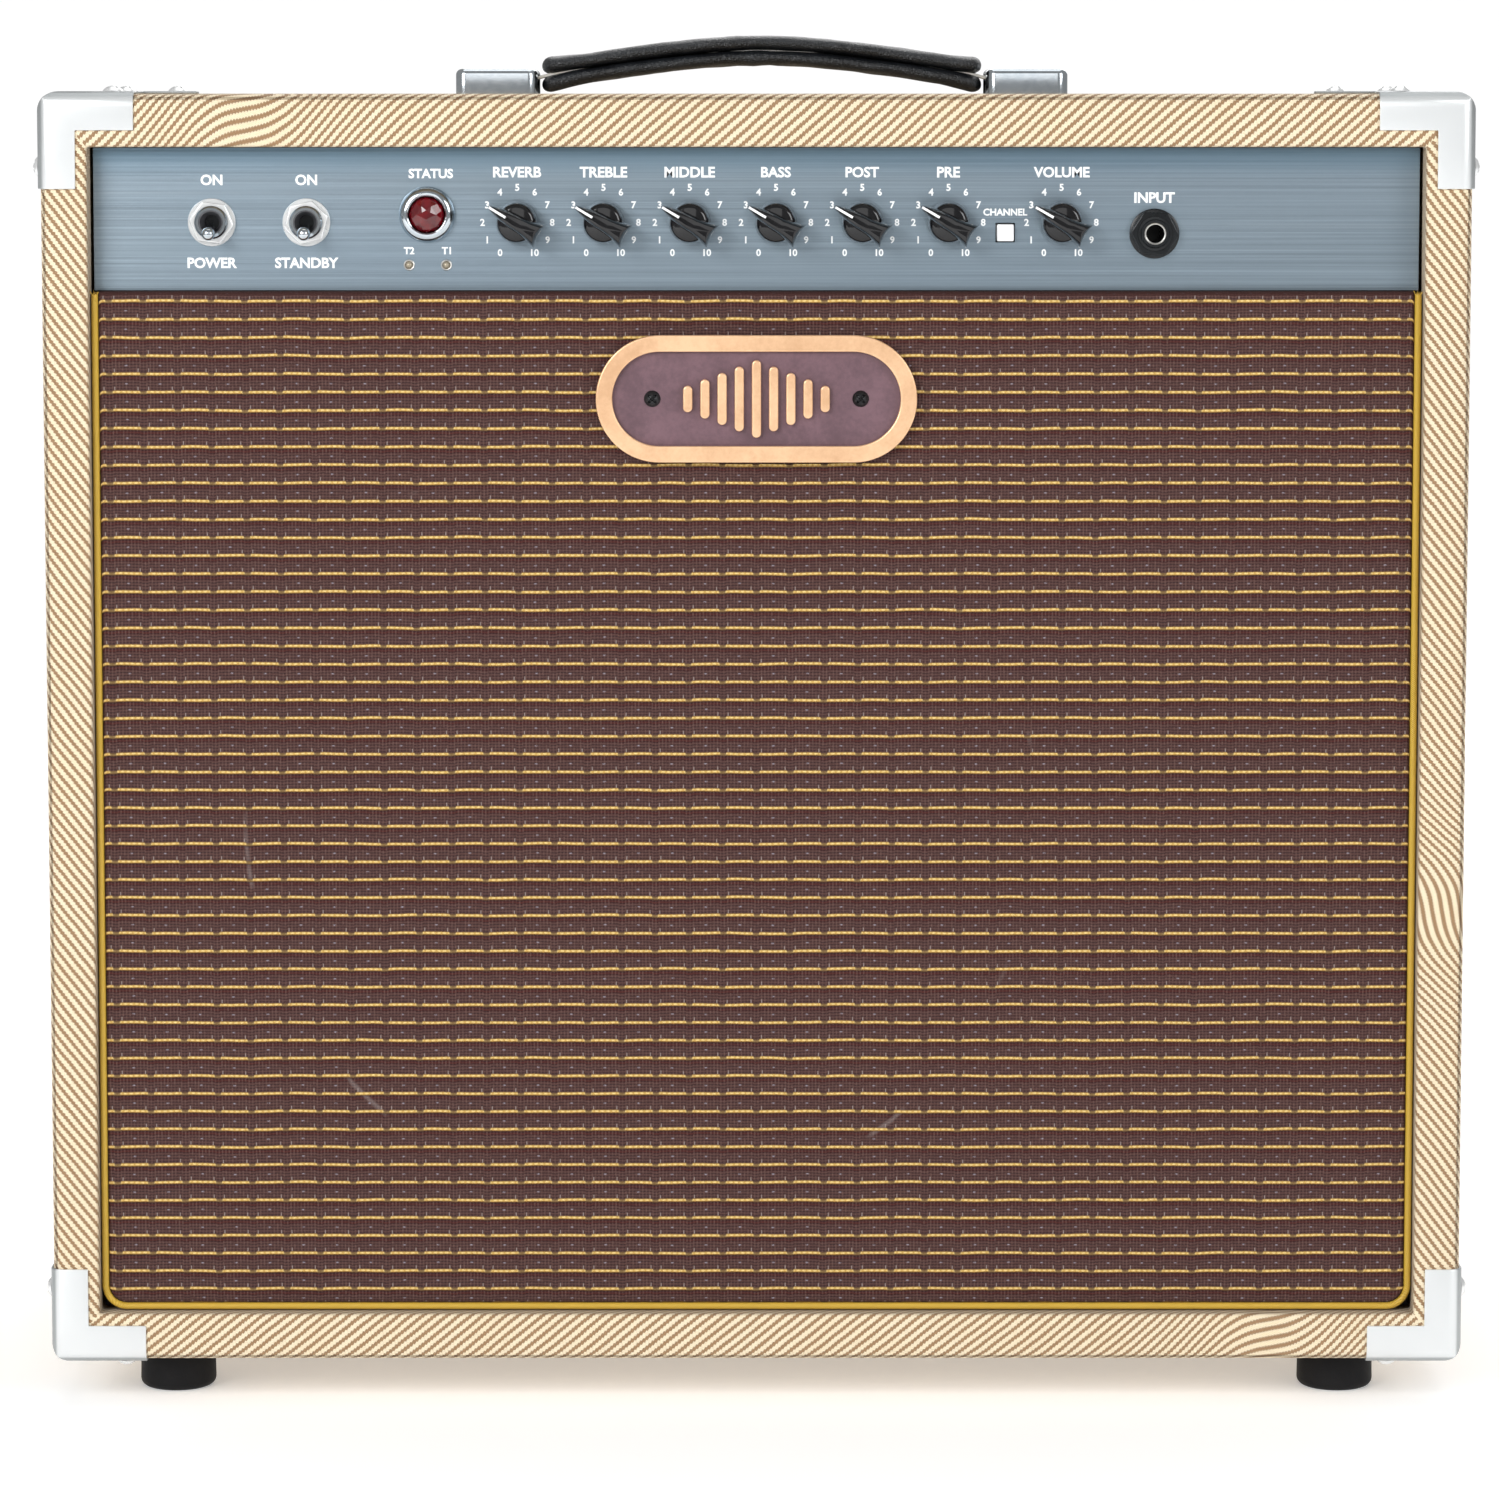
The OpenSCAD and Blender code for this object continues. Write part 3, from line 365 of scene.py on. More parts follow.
def grille_weave():
    cloth = bpy.context.scene.amp_cloth
    surface = Surface("grille_cloth", Roughness=0.8, Specular_IOR_Level=0.2)
    x, z = split(surface.uv)
    sway = noise_at(surface.uv, 0.045, 2.0) - 0.5
    fuzz = noise_at(surface.uv, 1.7, 3.0, 0.7)
    dash = (x / cloth.dash_pitch + sway * 0.12).part()
    gap = (dash - 0.5).do("ABSOLUTE").ramp(0.375, 0.43)
    z = z + sway * 1.1 + gap * 0.22 + (fuzz - 0.5) * 0.3
    row = (z / cloth.line_pitch).part()
    gold_at = row.band(0.5, 0.085, 0.035)
    core = row.band(0.515, 0.045, 0.04)
    beads = (x / 2.05 + sway).part().band(0.5, 0.28, 0.2)
    # dark ground: wefts of two tones crossed by fine warps
    weft = (z / 1.097).part().band(0.5, 0.33, 0.16)
    warp_x = x / 1.24 + sway * 0.5
    warp = warp_x.part().band(0.5, 0.2, 0.16)
    cells = joined(warp_x.do("FLOOR"), (z / 1.097).do("FLOOR"))
    random = surface.nodes.new("ShaderNodeTexWhiteNoise")
    random.noise_dimensions = "2D"
    feed(random.inputs["Vector"], cells)
    chance = Value(random.outputs["Value"])
    below = row.band(0.27, 0.12, 0.05)
    ground = mixed(below, rgb(0.074, 0.035, 0.031), rgb(0.060, 0.014, 0.012))
    ground = mixed(weft.flipped() * 0.75, ground, rgb(0.018, 0.007, 0.009))
    ground = mixed(warp * (chance * 0.8 + 0.2) * 0.62, ground, rgb(0.135, 0.075, 0.064))
    ground = mixed(fuzz.ramp(0.62, 0.8) * 0.4, ground, rgb(0.13, 0.09, 0.095))
    # a faint lighter ring at the baffle opening's radius round the speaker's centre
    far_x, far_z = x + 42.0, z - 217.0
    rim = (far_x * far_x + far_z * far_z).do("SQRT")
    ghost_ring = noise_at(surface.uv, 0.03, 2.0).ramp(0.56, 0.66) * rim.band(144.0, 0.7, 0.6)
    ground = mixed(ghost_ring * fuzz * 0.6, ground, rgb(0.30, 0.25, 0.24))
    side = (dash - 0.5).do("ABSOLUTE").band(0.345, 0.014, 0.012)
    tail = row.band(0.69, 0.1, 0.06)
    ground = mixed(side * tail * 0.75, ground, rgb(0.33, 0.27, 0.25))
    fleck = dash.band(0.5, 0.035, 0.03) * row.band(0.98, 0.05, 0.04) * fuzz.ramp(0.35, 0.5)
    ground = mixed(fleck * 0.55, ground, rgb(0.40, 0.37, 0.43))
    gold = mixed(core * (beads * 0.5 + 0.5), rgb(0.40, 0.22, 0.055), rgb(*cloth.gold))
    gold = mixed(core * beads * fuzz * 0.6, gold, rgb(0.95, 0.78, 0.42))
    gold = mixed(gap * 0.85, gold, rgb(0.13, 0.075, 0.035))
    cloth_color = mixed(gold_at, ground, gold)
    # painted shade along the grille's rounded top edge and top face, in the corner where it meets the panel
    top_fold_shade = (z + (fuzz - 0.5) * 1.5).ramp(406.4, 406.9)
    surface.set(Base_Color=mixed(top_fold_shade * 0.9, cloth_color, rgb(0.045, 0.016, 0.014)))
    surface.bump(gold_at * (beads * 0.25 + 0.9) + weft * 0.3 + warp * 0.22, 0.0005)
    return surface.material


def gold_cord():
    cloth = bpy.context.scene.amp_cloth
    surface = Surface("gold_cord", Roughness=0.38, Coat_Weight=0.3, Coat_Roughness=0.3)
    along, around = split(surface.uv)
    rib = ((along + around * 0.7) / 0.72).part().band(0.5, 0.3, 0.2)
    fuzz = noise_at(surface.uv, 1.3, 3.0)
    deep = mixed(fuzz.ramp(0.3, 0.7), rgb(0.50, 0.27, 0.02), rgb(0.66, 0.39, 0.035))
    surface.set(Base_Color=mixed(rib, deep, rgb(*cloth.piping)))
    surface.bump(rib, 0.0003)
    return surface.material


def black_strap():
    surface = Surface("black_strap", Specular_IOR_Level=0.5)
    cells = surface.nodes.new("ShaderNodeTexVoronoi")
    cells.feature = "DISTANCE_TO_EDGE"
    cells.inputs["Scale"].default_value = 900.0
    feed(cells.inputs["Vector"], surface.place)
    pebble = Value(cells.outputs["Distance"]).ramp(0.0, 0.35)
    wear = noise_at(surface.place, 60.0, 4.0)
    surface.set(Base_Color=mixed(wear.ramp(0.35, 0.75), rgb(0.005, 0.006, 0.008),
                                 rgb(0.014, 0.017, 0.021)),
                Roughness=wear * 0.25 + 0.28)
    surface.bump(pebble * 0.7 + wear * 0.6, 0.0003)
    return surface.material


def cap_plate():
    """Satin plate, with painted shade where a cap rolls over from its front face and along its legs."""
    surface = Surface("cap_plate", Metallic=0.6)
    cloud = noise_at(surface.place, 22.0, 4.0, 0.6)
    depth = surface.nodes.new("ShaderNodeSeparateXYZ")
    feed(depth.inputs[0], surface.place)
    middle = (box_mm("tweed_covering")[0].y + box_mm("tweed_covering")[1].y) / 2 * MM
    # painted shade: the plate dark away from a cap's front or rear face, bright on that face
    face = (Value(depth.outputs[1]) - middle).do("ABSOLUTE").ramp(0.1192, 0.1203)
    plate = mixed(face, rgb(0.34, 0.36, 0.365), rgb(0.74, 0.76, 0.765))
    surface.set(Base_Color=mixed(cloud.ramp(0.35, 0.75) * 0.2, plate, rgb(0.62, 0.64, 0.65)),
                Roughness=cloud * 0.14 + 0.3)
    return surface.material


def brushed_panel():
    panel = bpy.context.scene.amp_panel
    surface = Surface("brushed_panel", Metallic=0.9)
    lines = noise_at(stretched(surface.place, (3.0, 60.0, 1500.0)), 1.0, 3.0, 0.7)
    long = noise_at(stretched(surface.place, (1.2, 10.0, 190.0)), 1.0, 3.0, 0.6)
    cloud = noise_at(stretched(surface.place, (4.0, 10.0, 16.0)), 1.0, 2.0, 0.5)
    steel = mixed(lines.ramp(0.25, 0.75), rgb(*(c * 0.80 for c in panel.steel)),
                  rgb(*(c * 1.12 for c in panel.steel)))
    steel = mixed(long.ramp(0.55, 0.75) * 0.3, steel, rgb(0.46, 0.52, 0.57))
    steel = mixed(cloud.ramp(0.3, 0.75) * 0.3, steel, rgb(0.20, 0.27, 0.34))
    height = surface.nodes.new("ShaderNodeSeparateXYZ")
    feed(height.inputs[0], surface.place)
    # painted shade: the panel darker and bluer at the top, under the top board's overhang
    top = Value(height.outputs[2]).ramp(0.447, 0.459)
    steel = mixed(top * 0.6, steel, rgb(0.13, 0.24, 0.33))
    surface.set(Base_Color=steel, Roughness=lines * 0.16 + 0.30)
    surface.bump(lines + long * 0.4, 0.00006)
    return surface.material


def plywood():
    surface = Surface("plywood", Roughness=0.55)
    grain = noise_at(stretched(surface.place, (5.0, 90.0, 90.0)), 1.0, 5.0, 0.65)
    bands = noise_at(stretched(surface.place, (2.0, 14.0, 14.0)), 1.0, 3.0, 0.5)
    wood = mixed(grain.ramp(0.3, 0.7), rgb(0.42, 0.26, 0.12), rgb(0.66, 0.47, 0.27))
    wood = mixed(bands.ramp(0.4, 0.7) * 0.5, wood, rgb(0.50, 0.33, 0.17))
    surface.set(Base_Color=wood)
    surface.bump(grain, 0.0002)
    return surface.material


def circuit_board():
    surface = Surface("circuit_board", Roughness=0.35, Coat_Weight=0.4)
    tracks = surface.nodes.new("ShaderNodeTexVoronoi")
    tracks.distance = "MANHATTAN"
    tracks.feature = "F1"
    tracks.inputs["Scale"].default_value = 160.0
    feed(tracks.inputs["Vector"], surface.place)
    line = Value(tracks.outputs["Distance"]).ramp(0.30, 0.36)
    surface.set(Base_Color=mixed(line, rgb(0.02, 0.13, 0.05), rgb(0.05, 0.24, 0.10)))
    surface.bump(line, 0.0001)
    return surface.material


def red_jewel():
    tone = bpy.context.scene.amp_panel.jewel
    surface = Surface("red_jewel", Coat_Weight=0.5, Coat_Roughness=0.02, Roughness=0.12,
                      IOR=1.55)
    streak = noise_at(surface.place, 260.0, 2.0)
    surface.set(Base_Color=mixed(streak.ramp(0.35, 0.65), rgb(*tone),
                                 rgb(tone[0] * 1.6, tone[1], tone[2])))
    return surface.material


def tube_glass():
    surface = Surface("tube_glass", Roughness=0.02, IOR=1.45, Transmission_Weight=1.0)
    haze = noise_at(surface.place, 30.0, 2.0)
    surface.set(Base_Color=mixed(haze, rgb(0.90, 0.94, 0.94), rgb(0.98, 0.99, 0.99)))
    return surface.material


def transformer_steel():
    surface = Surface("transformer", Metallic=0.4)
    sheets = noise_at(stretched(surface.place, (2.0, 2600.0, 2.0)), 1.0, 1.0)
    dust = noise_at(surface.place, 45.0, 4.0)
    surface.set(Base_Color=mixed(dust.ramp(0.4, 0.8), rgb(0.018, 0.018, 0.021),
                                 rgb(0.055, 0.054, 0.055)),
                Roughness=dust * 0.3 + 0.3)
    surface.bump(sheets * 0.8 + dust * 0.3, 0.0002)
    return surface.material


def paper_cone():
    surface = Surface("paper_cone", Roughness=0.85)
    pulp = noise_at(surface.place, 320.0, 4.0, 0.7)
    fade = noise_at(surface.place, 14.0, 2.0)
    surface.set(Base_Color=mixed(pulp * 0.7 + fade * 0.3, rgb(0.022, 0.020, 0.018),
                                 rgb(0.10, 0.09, 0.08)))
    surface.bump(pulp, 0.0003)
    return surface.material


def lead_sleeve():
    surface = Surface("lead_sleeve", Roughness=0.42)
    around = split(surface.uv)[1]
    second = around.ramp(0.5, 0.502)
    dust = noise_at(surface.place, 200.0, 3.0)
    surface.set(Base_Color=mixed(second, mixed(dust, rgb(0.20, 0.006, 0.006),
                                               rgb(0.34, 0.02, 0.015)),
                                 mixed(dust, rgb(0.008, 0.008, 0.008), rgb(0.03, 0.03, 0.03))))
    surface.bump(dust, 0.0001)
    return surface.material


PLAIN_FINISHES = {
    # name: (light colour, dark colour, scale, roughness, swing, metal, relief)
    "black_painted_wood": ((0.035, 0.034, 0.033), (0.012, 0.012, 0.012), 60, 0.7, 0.2, 0, 2e-4),
    "nickel": ((0.86, 0.87, 0.87), (0.76, 0.77, 0.77), 22, 0.27, 0.14, 0.6, 2e-5),
    "chrome": ((0.62, 0.66, 0.69), (0.46, 0.51, 0.55), 30, 0.12, 0.08, 1, 1e-5),
    "zinc_steel": ((0.62, 0.61, 0.57), (0.42, 0.42, 0.42), 70, 0.38, 0.25, 1, 4e-5),
    "spring_steel": ((0.80, 0.79, 0.75), (0.60, 0.59, 0.56), 50, 0.30, 0.2, 1, 3e-5),
    "black_screw": ((0.03, 0.03, 0.032), (0.012, 0.012, 0.013), 90, 0.35, 0.2, 0.6, 3e-5),
    "black_rubber": ((0.008, 0.008, 0.009), (0.004, 0.004, 0.005), 60, 0.60, 0.2, 0, 1e-4),
    "plum_plastic": ((0.16, 0.085, 0.105), (0.10, 0.052, 0.066), 60, 0.45, 0.15, 0, 8e-5),
    "copper_plate": ((0.92, 0.60, 0.36), (0.76, 0.45, 0.25), 45, 0.34, 0.16, 0.55, 5e-5),
    "black_chassis": ((0.030, 0.030, 0.033), (0.014, 0.014, 0.016), 120, 0.5, 0.2, 0.2, 1e-4),
    "knob_plastic": ((0.007, 0.007, 0.008), (0.003, 0.003, 0.004), 60, 0.12, 0.06, 0, 1e-5),
    "led_lens": ((0.40, 0.35, 0.26), (0.22, 0.19, 0.14), 200, 0.22, 0.1, 0.3, 2e-5),
    "white_button": ((0.92, 0.93, 0.93), (0.84, 0.85, 0.86), 90, 0.30, 0.1, 0, 1e-5),
    "white_ink": ((0.95, 0.96, 0.96), (0.86, 0.88, 0.90), 200, 0.50, 0.1, 0, 1e-5),
    "black_plastic": ((0.014, 0.016, 0.018), (0.006, 0.007, 0.008), 90, 0.26, 0.12, 0, 3e-5),
    "ceramic": ((0.80, 0.77, 0.69), (0.66, 0.62, 0.54), 60, 0.45, 0.2, 0, 6e-5),
    "cork_gasket": ((0.42, 0.30, 0.18), (0.20, 0.13, 0.07), 300, 0.85, 0.1, 0, 4e-4),
    "magnet_steel": ((0.075, 0.075, 0.08), (0.035, 0.035, 0.04), 50, 0.42, 0.3, 0.5, 1e-4),
    "suspension_cloth": ((0.12, 0.09, 0.05), (0.05, 0.04, 0.03), 400, 0.8, 0.1, 0, 3e-4),
    "brass": ((0.80, 0.58, 0.26), (0.60, 0.42, 0.18), 80, 0.28, 0.2, 1, 3e-5),
    "anode_grey": ((0.16, 0.16, 0.17), (0.08, 0.08, 0.09), 90, 0.55, 0.2, 0.6, 1e-4),
    "getter": ((0.70, 0.70, 0.68), (0.30, 0.30, 0.31), 40, 0.12, 0.1, 1, 1e-5),
}
COATED = {"knob_plastic": 0.55, "copper_plate": 0.3}
DULLED = {"black_plastic": 0.3, "knob_plastic": 0.2, "black_rubber": 0.2,
          "black_painted_wood": 0.2, "white_ink": 0.2}
MADE_FINISHES = {
    "tweed": tweed, "cap_plate": cap_plate, "grille_cloth": grille_weave, "gold_cord": gold_cord,
    "black_strap": black_strap, "brushed_panel": brushed_panel, "plywood": plywood,
    "circuit_board": circuit_board, "red_jewel": red_jewel, "tube_glass": tube_glass,
    "transformer": transformer_steel, "paper_cone": paper_cone, "lead_sleeve": lead_sleeve,
}


finished = {}


def finish(name):
    """The material of that name, made when it is first asked for."""
    if name in finished:
        return finished[name]
    if name in MADE_FINISHES:
        finished[name] = MADE_FINISHES[name]()
        return finished[name]
    light, dark, scale, rough, swing, metal, relief = PLAIN_FINISHES[name]
    finished[name] = mottled(name, light, dark, scale, rough, swing, metal, relief,
                             Coat_Weight=COATED.get(name, 0.0), Coat_Roughness=0.06,
                             Specular_IOR_Level=DULLED.get(name, 0.5))
    return finished[name]


# ---------- shaping helpers: every shape is a bmesh in millimetres ----------

def box_mm(name):
    """Lowest and highest corner of a CAD node."""
    low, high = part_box(name)
    return low / MM, high / MM


def tidied(bm):
    bmesh.ops.remove_doubles(bm, verts=bm.verts, dist=1e-3)
    bmesh.ops.recalc_face_normals(bm, faces=bm.faces)
    return bm


def turned(profile, centre, axis, steps=40, closed=False):
    """(radius, height) points spun round an axis through the centre."""
    axis = Vector(axis).normalized()
    side = axis.orthogonal().normalized()
    centre = Vector(centre)
    bm = bmesh.new()
    line = [bm.verts.new(centre + side * r + axis * h) for r, h in profile]
    edges = [bm.edges.new(pair) for pair in zip(line, line[1:])]
    if closed:
        edges.append(bm.edges.new((line[-1], line[0])))
    bmesh.ops.spin(bm, geom=line + edges, cent=centre, axis=axis, dvec=(0, 0, 0),
                   angle=math.tau, steps=steps, use_merge=True, use_duplicate=False)
    return tidied(bm)


def prism(outline, depth):
    """A flat outline pushed along a vector into a closed solid."""
    bm = bmesh.new()
    face = bm.faces.new([bm.verts.new(point) for point in outline])
    made = bmesh.ops.extrude_face_region(bm, geom=[face], use_keep_orig=True)["geom"]
    bmesh.ops.translate(bm, vec=depth, verts=[g for g in made if isinstance(g, bmesh.types.BMVert)])
    return tidied(bm)


def plane_of(face):
    """A face's plane, rounded so that it can be looked up."""
    return tuple(round(c, 2) for c in (*face.normal, face.normal.dot(face.verts[0].co)))


def bevelled(bm, width, segments=2, angle=30.0, only=None):
    """Rounds the edges sharper than an angle."""
    curved = {face for edge in bm.edges for face in edge.link_faces
              if math.radians(0.5) < edge.calc_face_angle(0.0) < math.radians(angle)}
    planes = {plane_of(face) for face in bm.faces if face not in curved}
    edges = [e for e in bm.edges if len(e.link_faces) == 2
             and e.calc_face_angle(0.0) > math.radians(angle) and (only is None or only(e))]
    bmesh.ops.bevel(bm, geom=edges, offset=width, offset_type="OFFSET", segments=segments,
                    profile=0.5, affect="EDGES", clamp_overlap=True, material=-1)
    planar = bm.faces.layers.int.new("planar")
    bm.normal_update()
    for face in bm.faces:
        face[planar] = plane_of(face) in planes
    return bm


def skinned(rings, closed=True, cap_start=False, cap_end=False):
    """Extrudes the first ring of points through all the others; returns the mesh and its rows."""
    bm = bmesh.new()
    row = [bm.verts.new(point) for point in rings[0]]
    pairs = list(zip(row, row[1:])) + ([(row[-1], row[0])] if closed else [])
    edges = [bm.edges.new(pair) for pair in pairs]
    rows = [row]
    for ring in rings[1:]:
        made = bmesh.ops.extrude_edge_only(bm, edges=edges)["geom"]
        fresh = {g for g in made if isinstance(g, bmesh.types.BMVert)}
        row = [next(e.other_vert(v) for e in v.link_edges if e.other_vert(v) in fresh)
               for v in row]
        edges = [g for g in made if isinstance(g, bmesh.types.BMEdge)
                 and g.verts[0] in fresh and g.verts[1] in fresh]
        for vert, point in zip(row, ring):
            vert.co = point
        rows.append(row)
    if cap_start:
        bm.faces.new(rows[0])
    if cap_end:
        bm.faces.new(rows[-1])
    bmesh.ops.recalc_face_normals(bm, faces=bm.faces)
    return bm, rows


def arc(centre, radius, start, stop, steps):
    """Points on an arc in a plane, angles in degrees."""
    return [(centre[0] + radius * math.cos(math.radians(start + (stop - start) * i / steps)),
             centre[1] + radius * math.sin(math.radians(start + (stop - start) * i / steps)))
            for i in range(steps + 1)]


def rounded_outline(low, high, radius, steps=6):
    """A rectangle with round corners, anticlockwise from its lower right corner."""
    (x0, z0), (x1, z1) = low, high
    r = min(radius, (x1 - x0) / 2 - 1e-3, (z1 - z0) / 2 - 1e-3)
    return (arc((x1 - r, z0 + r), r, -90, 0, steps) + arc((x1 - r, z1 - r), r, 0, 90, steps)
            + arc((x0 + r, z1 - r), r, 90, 180, steps) + arc((x0 + r, z0 + r), r, 180, 270, steps))


def from_cad(name):
    """A merged copy of a CAD node's mesh, with its flat faces joined up."""
    bm = bmesh.new()
    bm.from_mesh(frame["nodes"][name].data)
    bmesh.ops.scale(bm, vec=(1 / MM,) * 3, verts=bm.verts)
    bmesh.ops.remove_doubles(bm, verts=bm.verts, dist=2e-3)
    bmesh.ops.dissolve_limit(bm, angle_limit=math.radians(1.0), use_dissolve_boundaries=False,
                             verts=bm.verts, edges=bm.edges, delimit=set())
    return bm


def solids_of(name):
    """(low, high) corners of each separate solid of a CAD node."""
    bm = from_cad(name)
    left, found = set(bm.verts), []
    while left:
        stack, group = [left.pop()], []
        while stack:
            vert = stack.pop()
            group.append(vert.co.copy())
            for edge in vert.link_edges:
                other = edge.other_vert(vert)
                if other in left:
                    left.remove(other)
                    stack.append(other)
        low = Vector([min(co[k] for co in group) for k in range(3)])
        high = Vector([max(co[k] for co in group) for k in range(3)])
        found.append((low, high))
    bm.free()
    return sorted(found, key=lambda pair: tuple(round(c, 2) for c in pair[0]))


def piece(name, parts, body="cabinet", replaces=(), smooth=38.0):
    """Joins (mesh, finish) parts into one object that rides on a body."""
    whole = bmesh.new()
    finishes = []
    for bm, look in parts:
        if look not in finishes:
            finishes.append(look)
        planar = bm.faces.layers.int.get("planar")
        for face in bm.faces:
            face.material_index = finishes.index(look)
            face.smooth = not (planar and face[planar])
        scratch = bpy.data.meshes.new("scratch")
        bm.to_mesh(scratch)
        bm.free()
        whole.from_mesh(scratch)
        bpy.data.meshes.remove(scratch)
    bmesh.ops.scale(whole, vec=(MM,) * 3, verts=whole.verts)
    mesh = bpy.data.meshes.new(name)
    whole.to_mesh(mesh)
    whole.free()
    for name_left in ("custom_normal", "planar"):
        if name_left in mesh.attributes:
            mesh.attributes.remove(mesh.attributes[name_left])
    for look in finishes:
        mesh.materials.append(finish(look))
    flat = [not polygon.use_smooth for polygon in mesh.polygons]
    mesh.set_sharp_from_angle(angle=math.radians(smooth))
    for polygon, is_flat in zip(mesh.polygons, flat):
        polygon.use_smooth = not is_flat
    obj = bpy.data.objects.new(name, mesh)
    bpy.context.scene.collection.objects.link(obj)
    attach(obj, body)
    if replaces:
        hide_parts(*replaces)
    return obj


def softened(node, slot, width, segments=2, body="cabinet", name=None):
    """A CAD node again with its sharp edges rounded."""
    return piece(name or node + "_finished", [(bevelled(from_cad(node), width, segments), slot)],
                 body, (node,))


def flat_uv(bm, along, inward):
    """A UV map in millimetres from two functions of a point."""
    layer = bm.loops.layers.uv.new("UVMap")
    for face in bm.faces:
        for loop in face.loops:
            loop[layer].uv = (along(loop.vert.co), inward(loop.vert.co))
    return bm


# ---------- cabinet ----------

def cabinet_sizes():
    """The covering's box, the clear opening and the covering's thickness."""
    low, high = box_mm("tweed_covering")
    board_low, board_high = box_mm("top_board")
    left = box_mm("left_board")
    bottom = box_mm("bottom_board")
    skin = high.z - board_high.z
    inner = {
        "x": -left[1].x - skin, "z0": bottom[1].z + skin, "z1": board_low.z - skin,
    }
    return low, high, inner, skin


class AMP_OT_covering(bpy.types.Operator):
    """Striped cloth wrapped round the cabinet and turned in at its front and back"""
    bl_idname = "amp.covering"
    bl_label = "Cloth covering"

    def execute(self, context):
        low, high, inner, skin = cabinet_sizes()
        corner, edge, lip = 6.8, 4.5, 1.3
        front_lip, rear_lip = 11.0, 20.0
        steps, runs = 6, 16

        def ring(inset, y):
            """The outline at an inset of 0 at the outside and 1 at the opening."""
            x = high.x + (inner["x"] - high.x) * inset
            z0 = low.z + (inner["z0"] - low.z) * inset
            z1 = high.z + (inner["z1"] - high.z) * inset
            radius = corner + (0.8 - corner) * min(1.0, inset * 1.6)
            corners = rounded_outline((-x, z0), (x, z1), radius, steps)
            points = []
            for i, (px, pz) in enumerate(corners):
                points.append((px, y, pz))
                if i % (steps + 1) == steps:
                    nx, nz = corners[(i + 1) % len(corners)]
                    points += [(px + (nx - px) * k / runs, y, pz + (nz - pz) * k / runs)
                               for k in range(1, runs)]
            return points

        band = high.x - inner["x"]

        def end_path(y, towards):
            """(inset, y) from the turned-in lip over the face to the outside."""
            turn = front_lip if towards < 0 else rear_lip
            path = [(1.0, y - towards * turn), (1.0, y - towards * lip)]
            path += [(1.0 - (lip - p) / band, y - towards * q)
                     for p, q in arc((0, lip), lip, 0, -90, 3)[1:]]
            path += [((edge + (band - lip - edge) * k / 3) / band, y) for k in (2, 1, 0)]
            path += [((edge - p) / band, y - towards * (edge - q))
                     for p, q in arc((0, 0), edge, 90, 0, 5)[1:]]
            return path

        front, rear = end_path(low.y, -1), end_path(high.y, 1)
        middle = [(0.0, low.y + (high.y - low.y) * k / 8) for k in range(1, 8)]
        outside = front + middle + rear[::-1]
        thin = skin * 0.9 / band
        inside = [(1.0 - thin if inset > 0.99 else max(inset, thin),
                   min(max(y, low.y + skin), high.y - skin)) for inset, y in outside[::-1]]
        # distance along the section, nought at the outer front and rear corners
        reach = [0.0]
        for (a, ya), (b, yb) in zip(outside, outside[1:]):
            reach.append(reach[-1] + math.hypot((a - b) * band, ya - yb))
        zero = reach[len(front) - 1]
        bm, rows = skinned([ring(i, y) for i, y in outside + inside])
        bmesh.ops.bridge_loops(bm, edges=[bm.edges.get(pair) for row in (rows[0], rows[-1])
                                          for pair in zip(row, row[1:] + row[:1])])
        bmesh.ops.recalc_face_normals(bm, faces=bm.faces)
        count = len(rows[0])
        side_span = count // 4
        where = {vert: (j, i) for j, row in enumerate(rows) for i, vert in enumerate(row)}
        layer = bm.loops.layers.uv.new("UVMap")
        for face in bm.faces:
            indexes = [where[v][1] for v in face.verts]
            if max(indexes) - min(indexes) > count // 2:
                indexes = [i + count if i < count // 2 else i for i in indexes]
            # the ring starts at the bottom of the lower right corner
            side = int(((sum(indexes) / 4 - steps / 2) % count) // side_span)
            for loop in face.loops:
                co = loop.vert.co
                j = min(where[loop.vert][0], 2 * len(outside) - 1 - where[loop.vert][0])
                along = (-co.z, co.x, co.z + 7.0, -co.x + 5.0)[side]
                loop[layer].uv = (along, zero - reach[j])
        piece("cloth_covering", [(bm, "tweed")], replaces=("tweed_covering",), smooth=50)
        return {"FINISHED"}


class AMP_OT_back_panels(bpy.types.Operator):
    """Two cloth-covered boards across the back, the upper one with vent slots"""
    bl_idname = "amp.back_panels"
    bl_label = "Back panels"

    def execute(self, context):
        for node in ("back_panel_upper", "back_panel_lower"):
            bm = bevelled(from_cad(node), 1.2, 3, 40)
            flat_uv(bm, lambda co: -co.x, lambda co: co.z + co.y - 900.0)
            piece(node + "_covered", [(bm, "tweed")], replaces=(node,))
        return {"FINISHED"}


class AMP_OT_corner_caps(bpy.types.Operator):
    """Plated three-leg corner caps with rolled rims and their cross-slot screws"""
    bl_idname = "amp.corner_caps"
    bl_label = "Corner caps"

    def execute(self, context):
        for node in ("front_corner_caps", "rear_corner_caps"):
            piece(node + "_finished", [(bevelled(from_cad(node), 0.32, 3), "cap_plate")],
                  replaces=(node,))
        screws = []
        for low, high in solids_of("corner_cap_screws"):
            size, middle = high - low, (low + high) / 2
            thin = min(range(3), key=lambda k: size[k])
            out = Vector([0, 0, 0])
            out[thin] = 1.0 if middle[thin] > (260 if thin == 2 else 0) else -1.0
            base = middle - out * size[thin] / 2
            screws.append((cross_screw(base, out, 3.8, 2.0), "nickel"))
        piece("corner_cap_screw_heads", screws, replaces=("corner_cap_screws",))
        return {"FINISHED"}


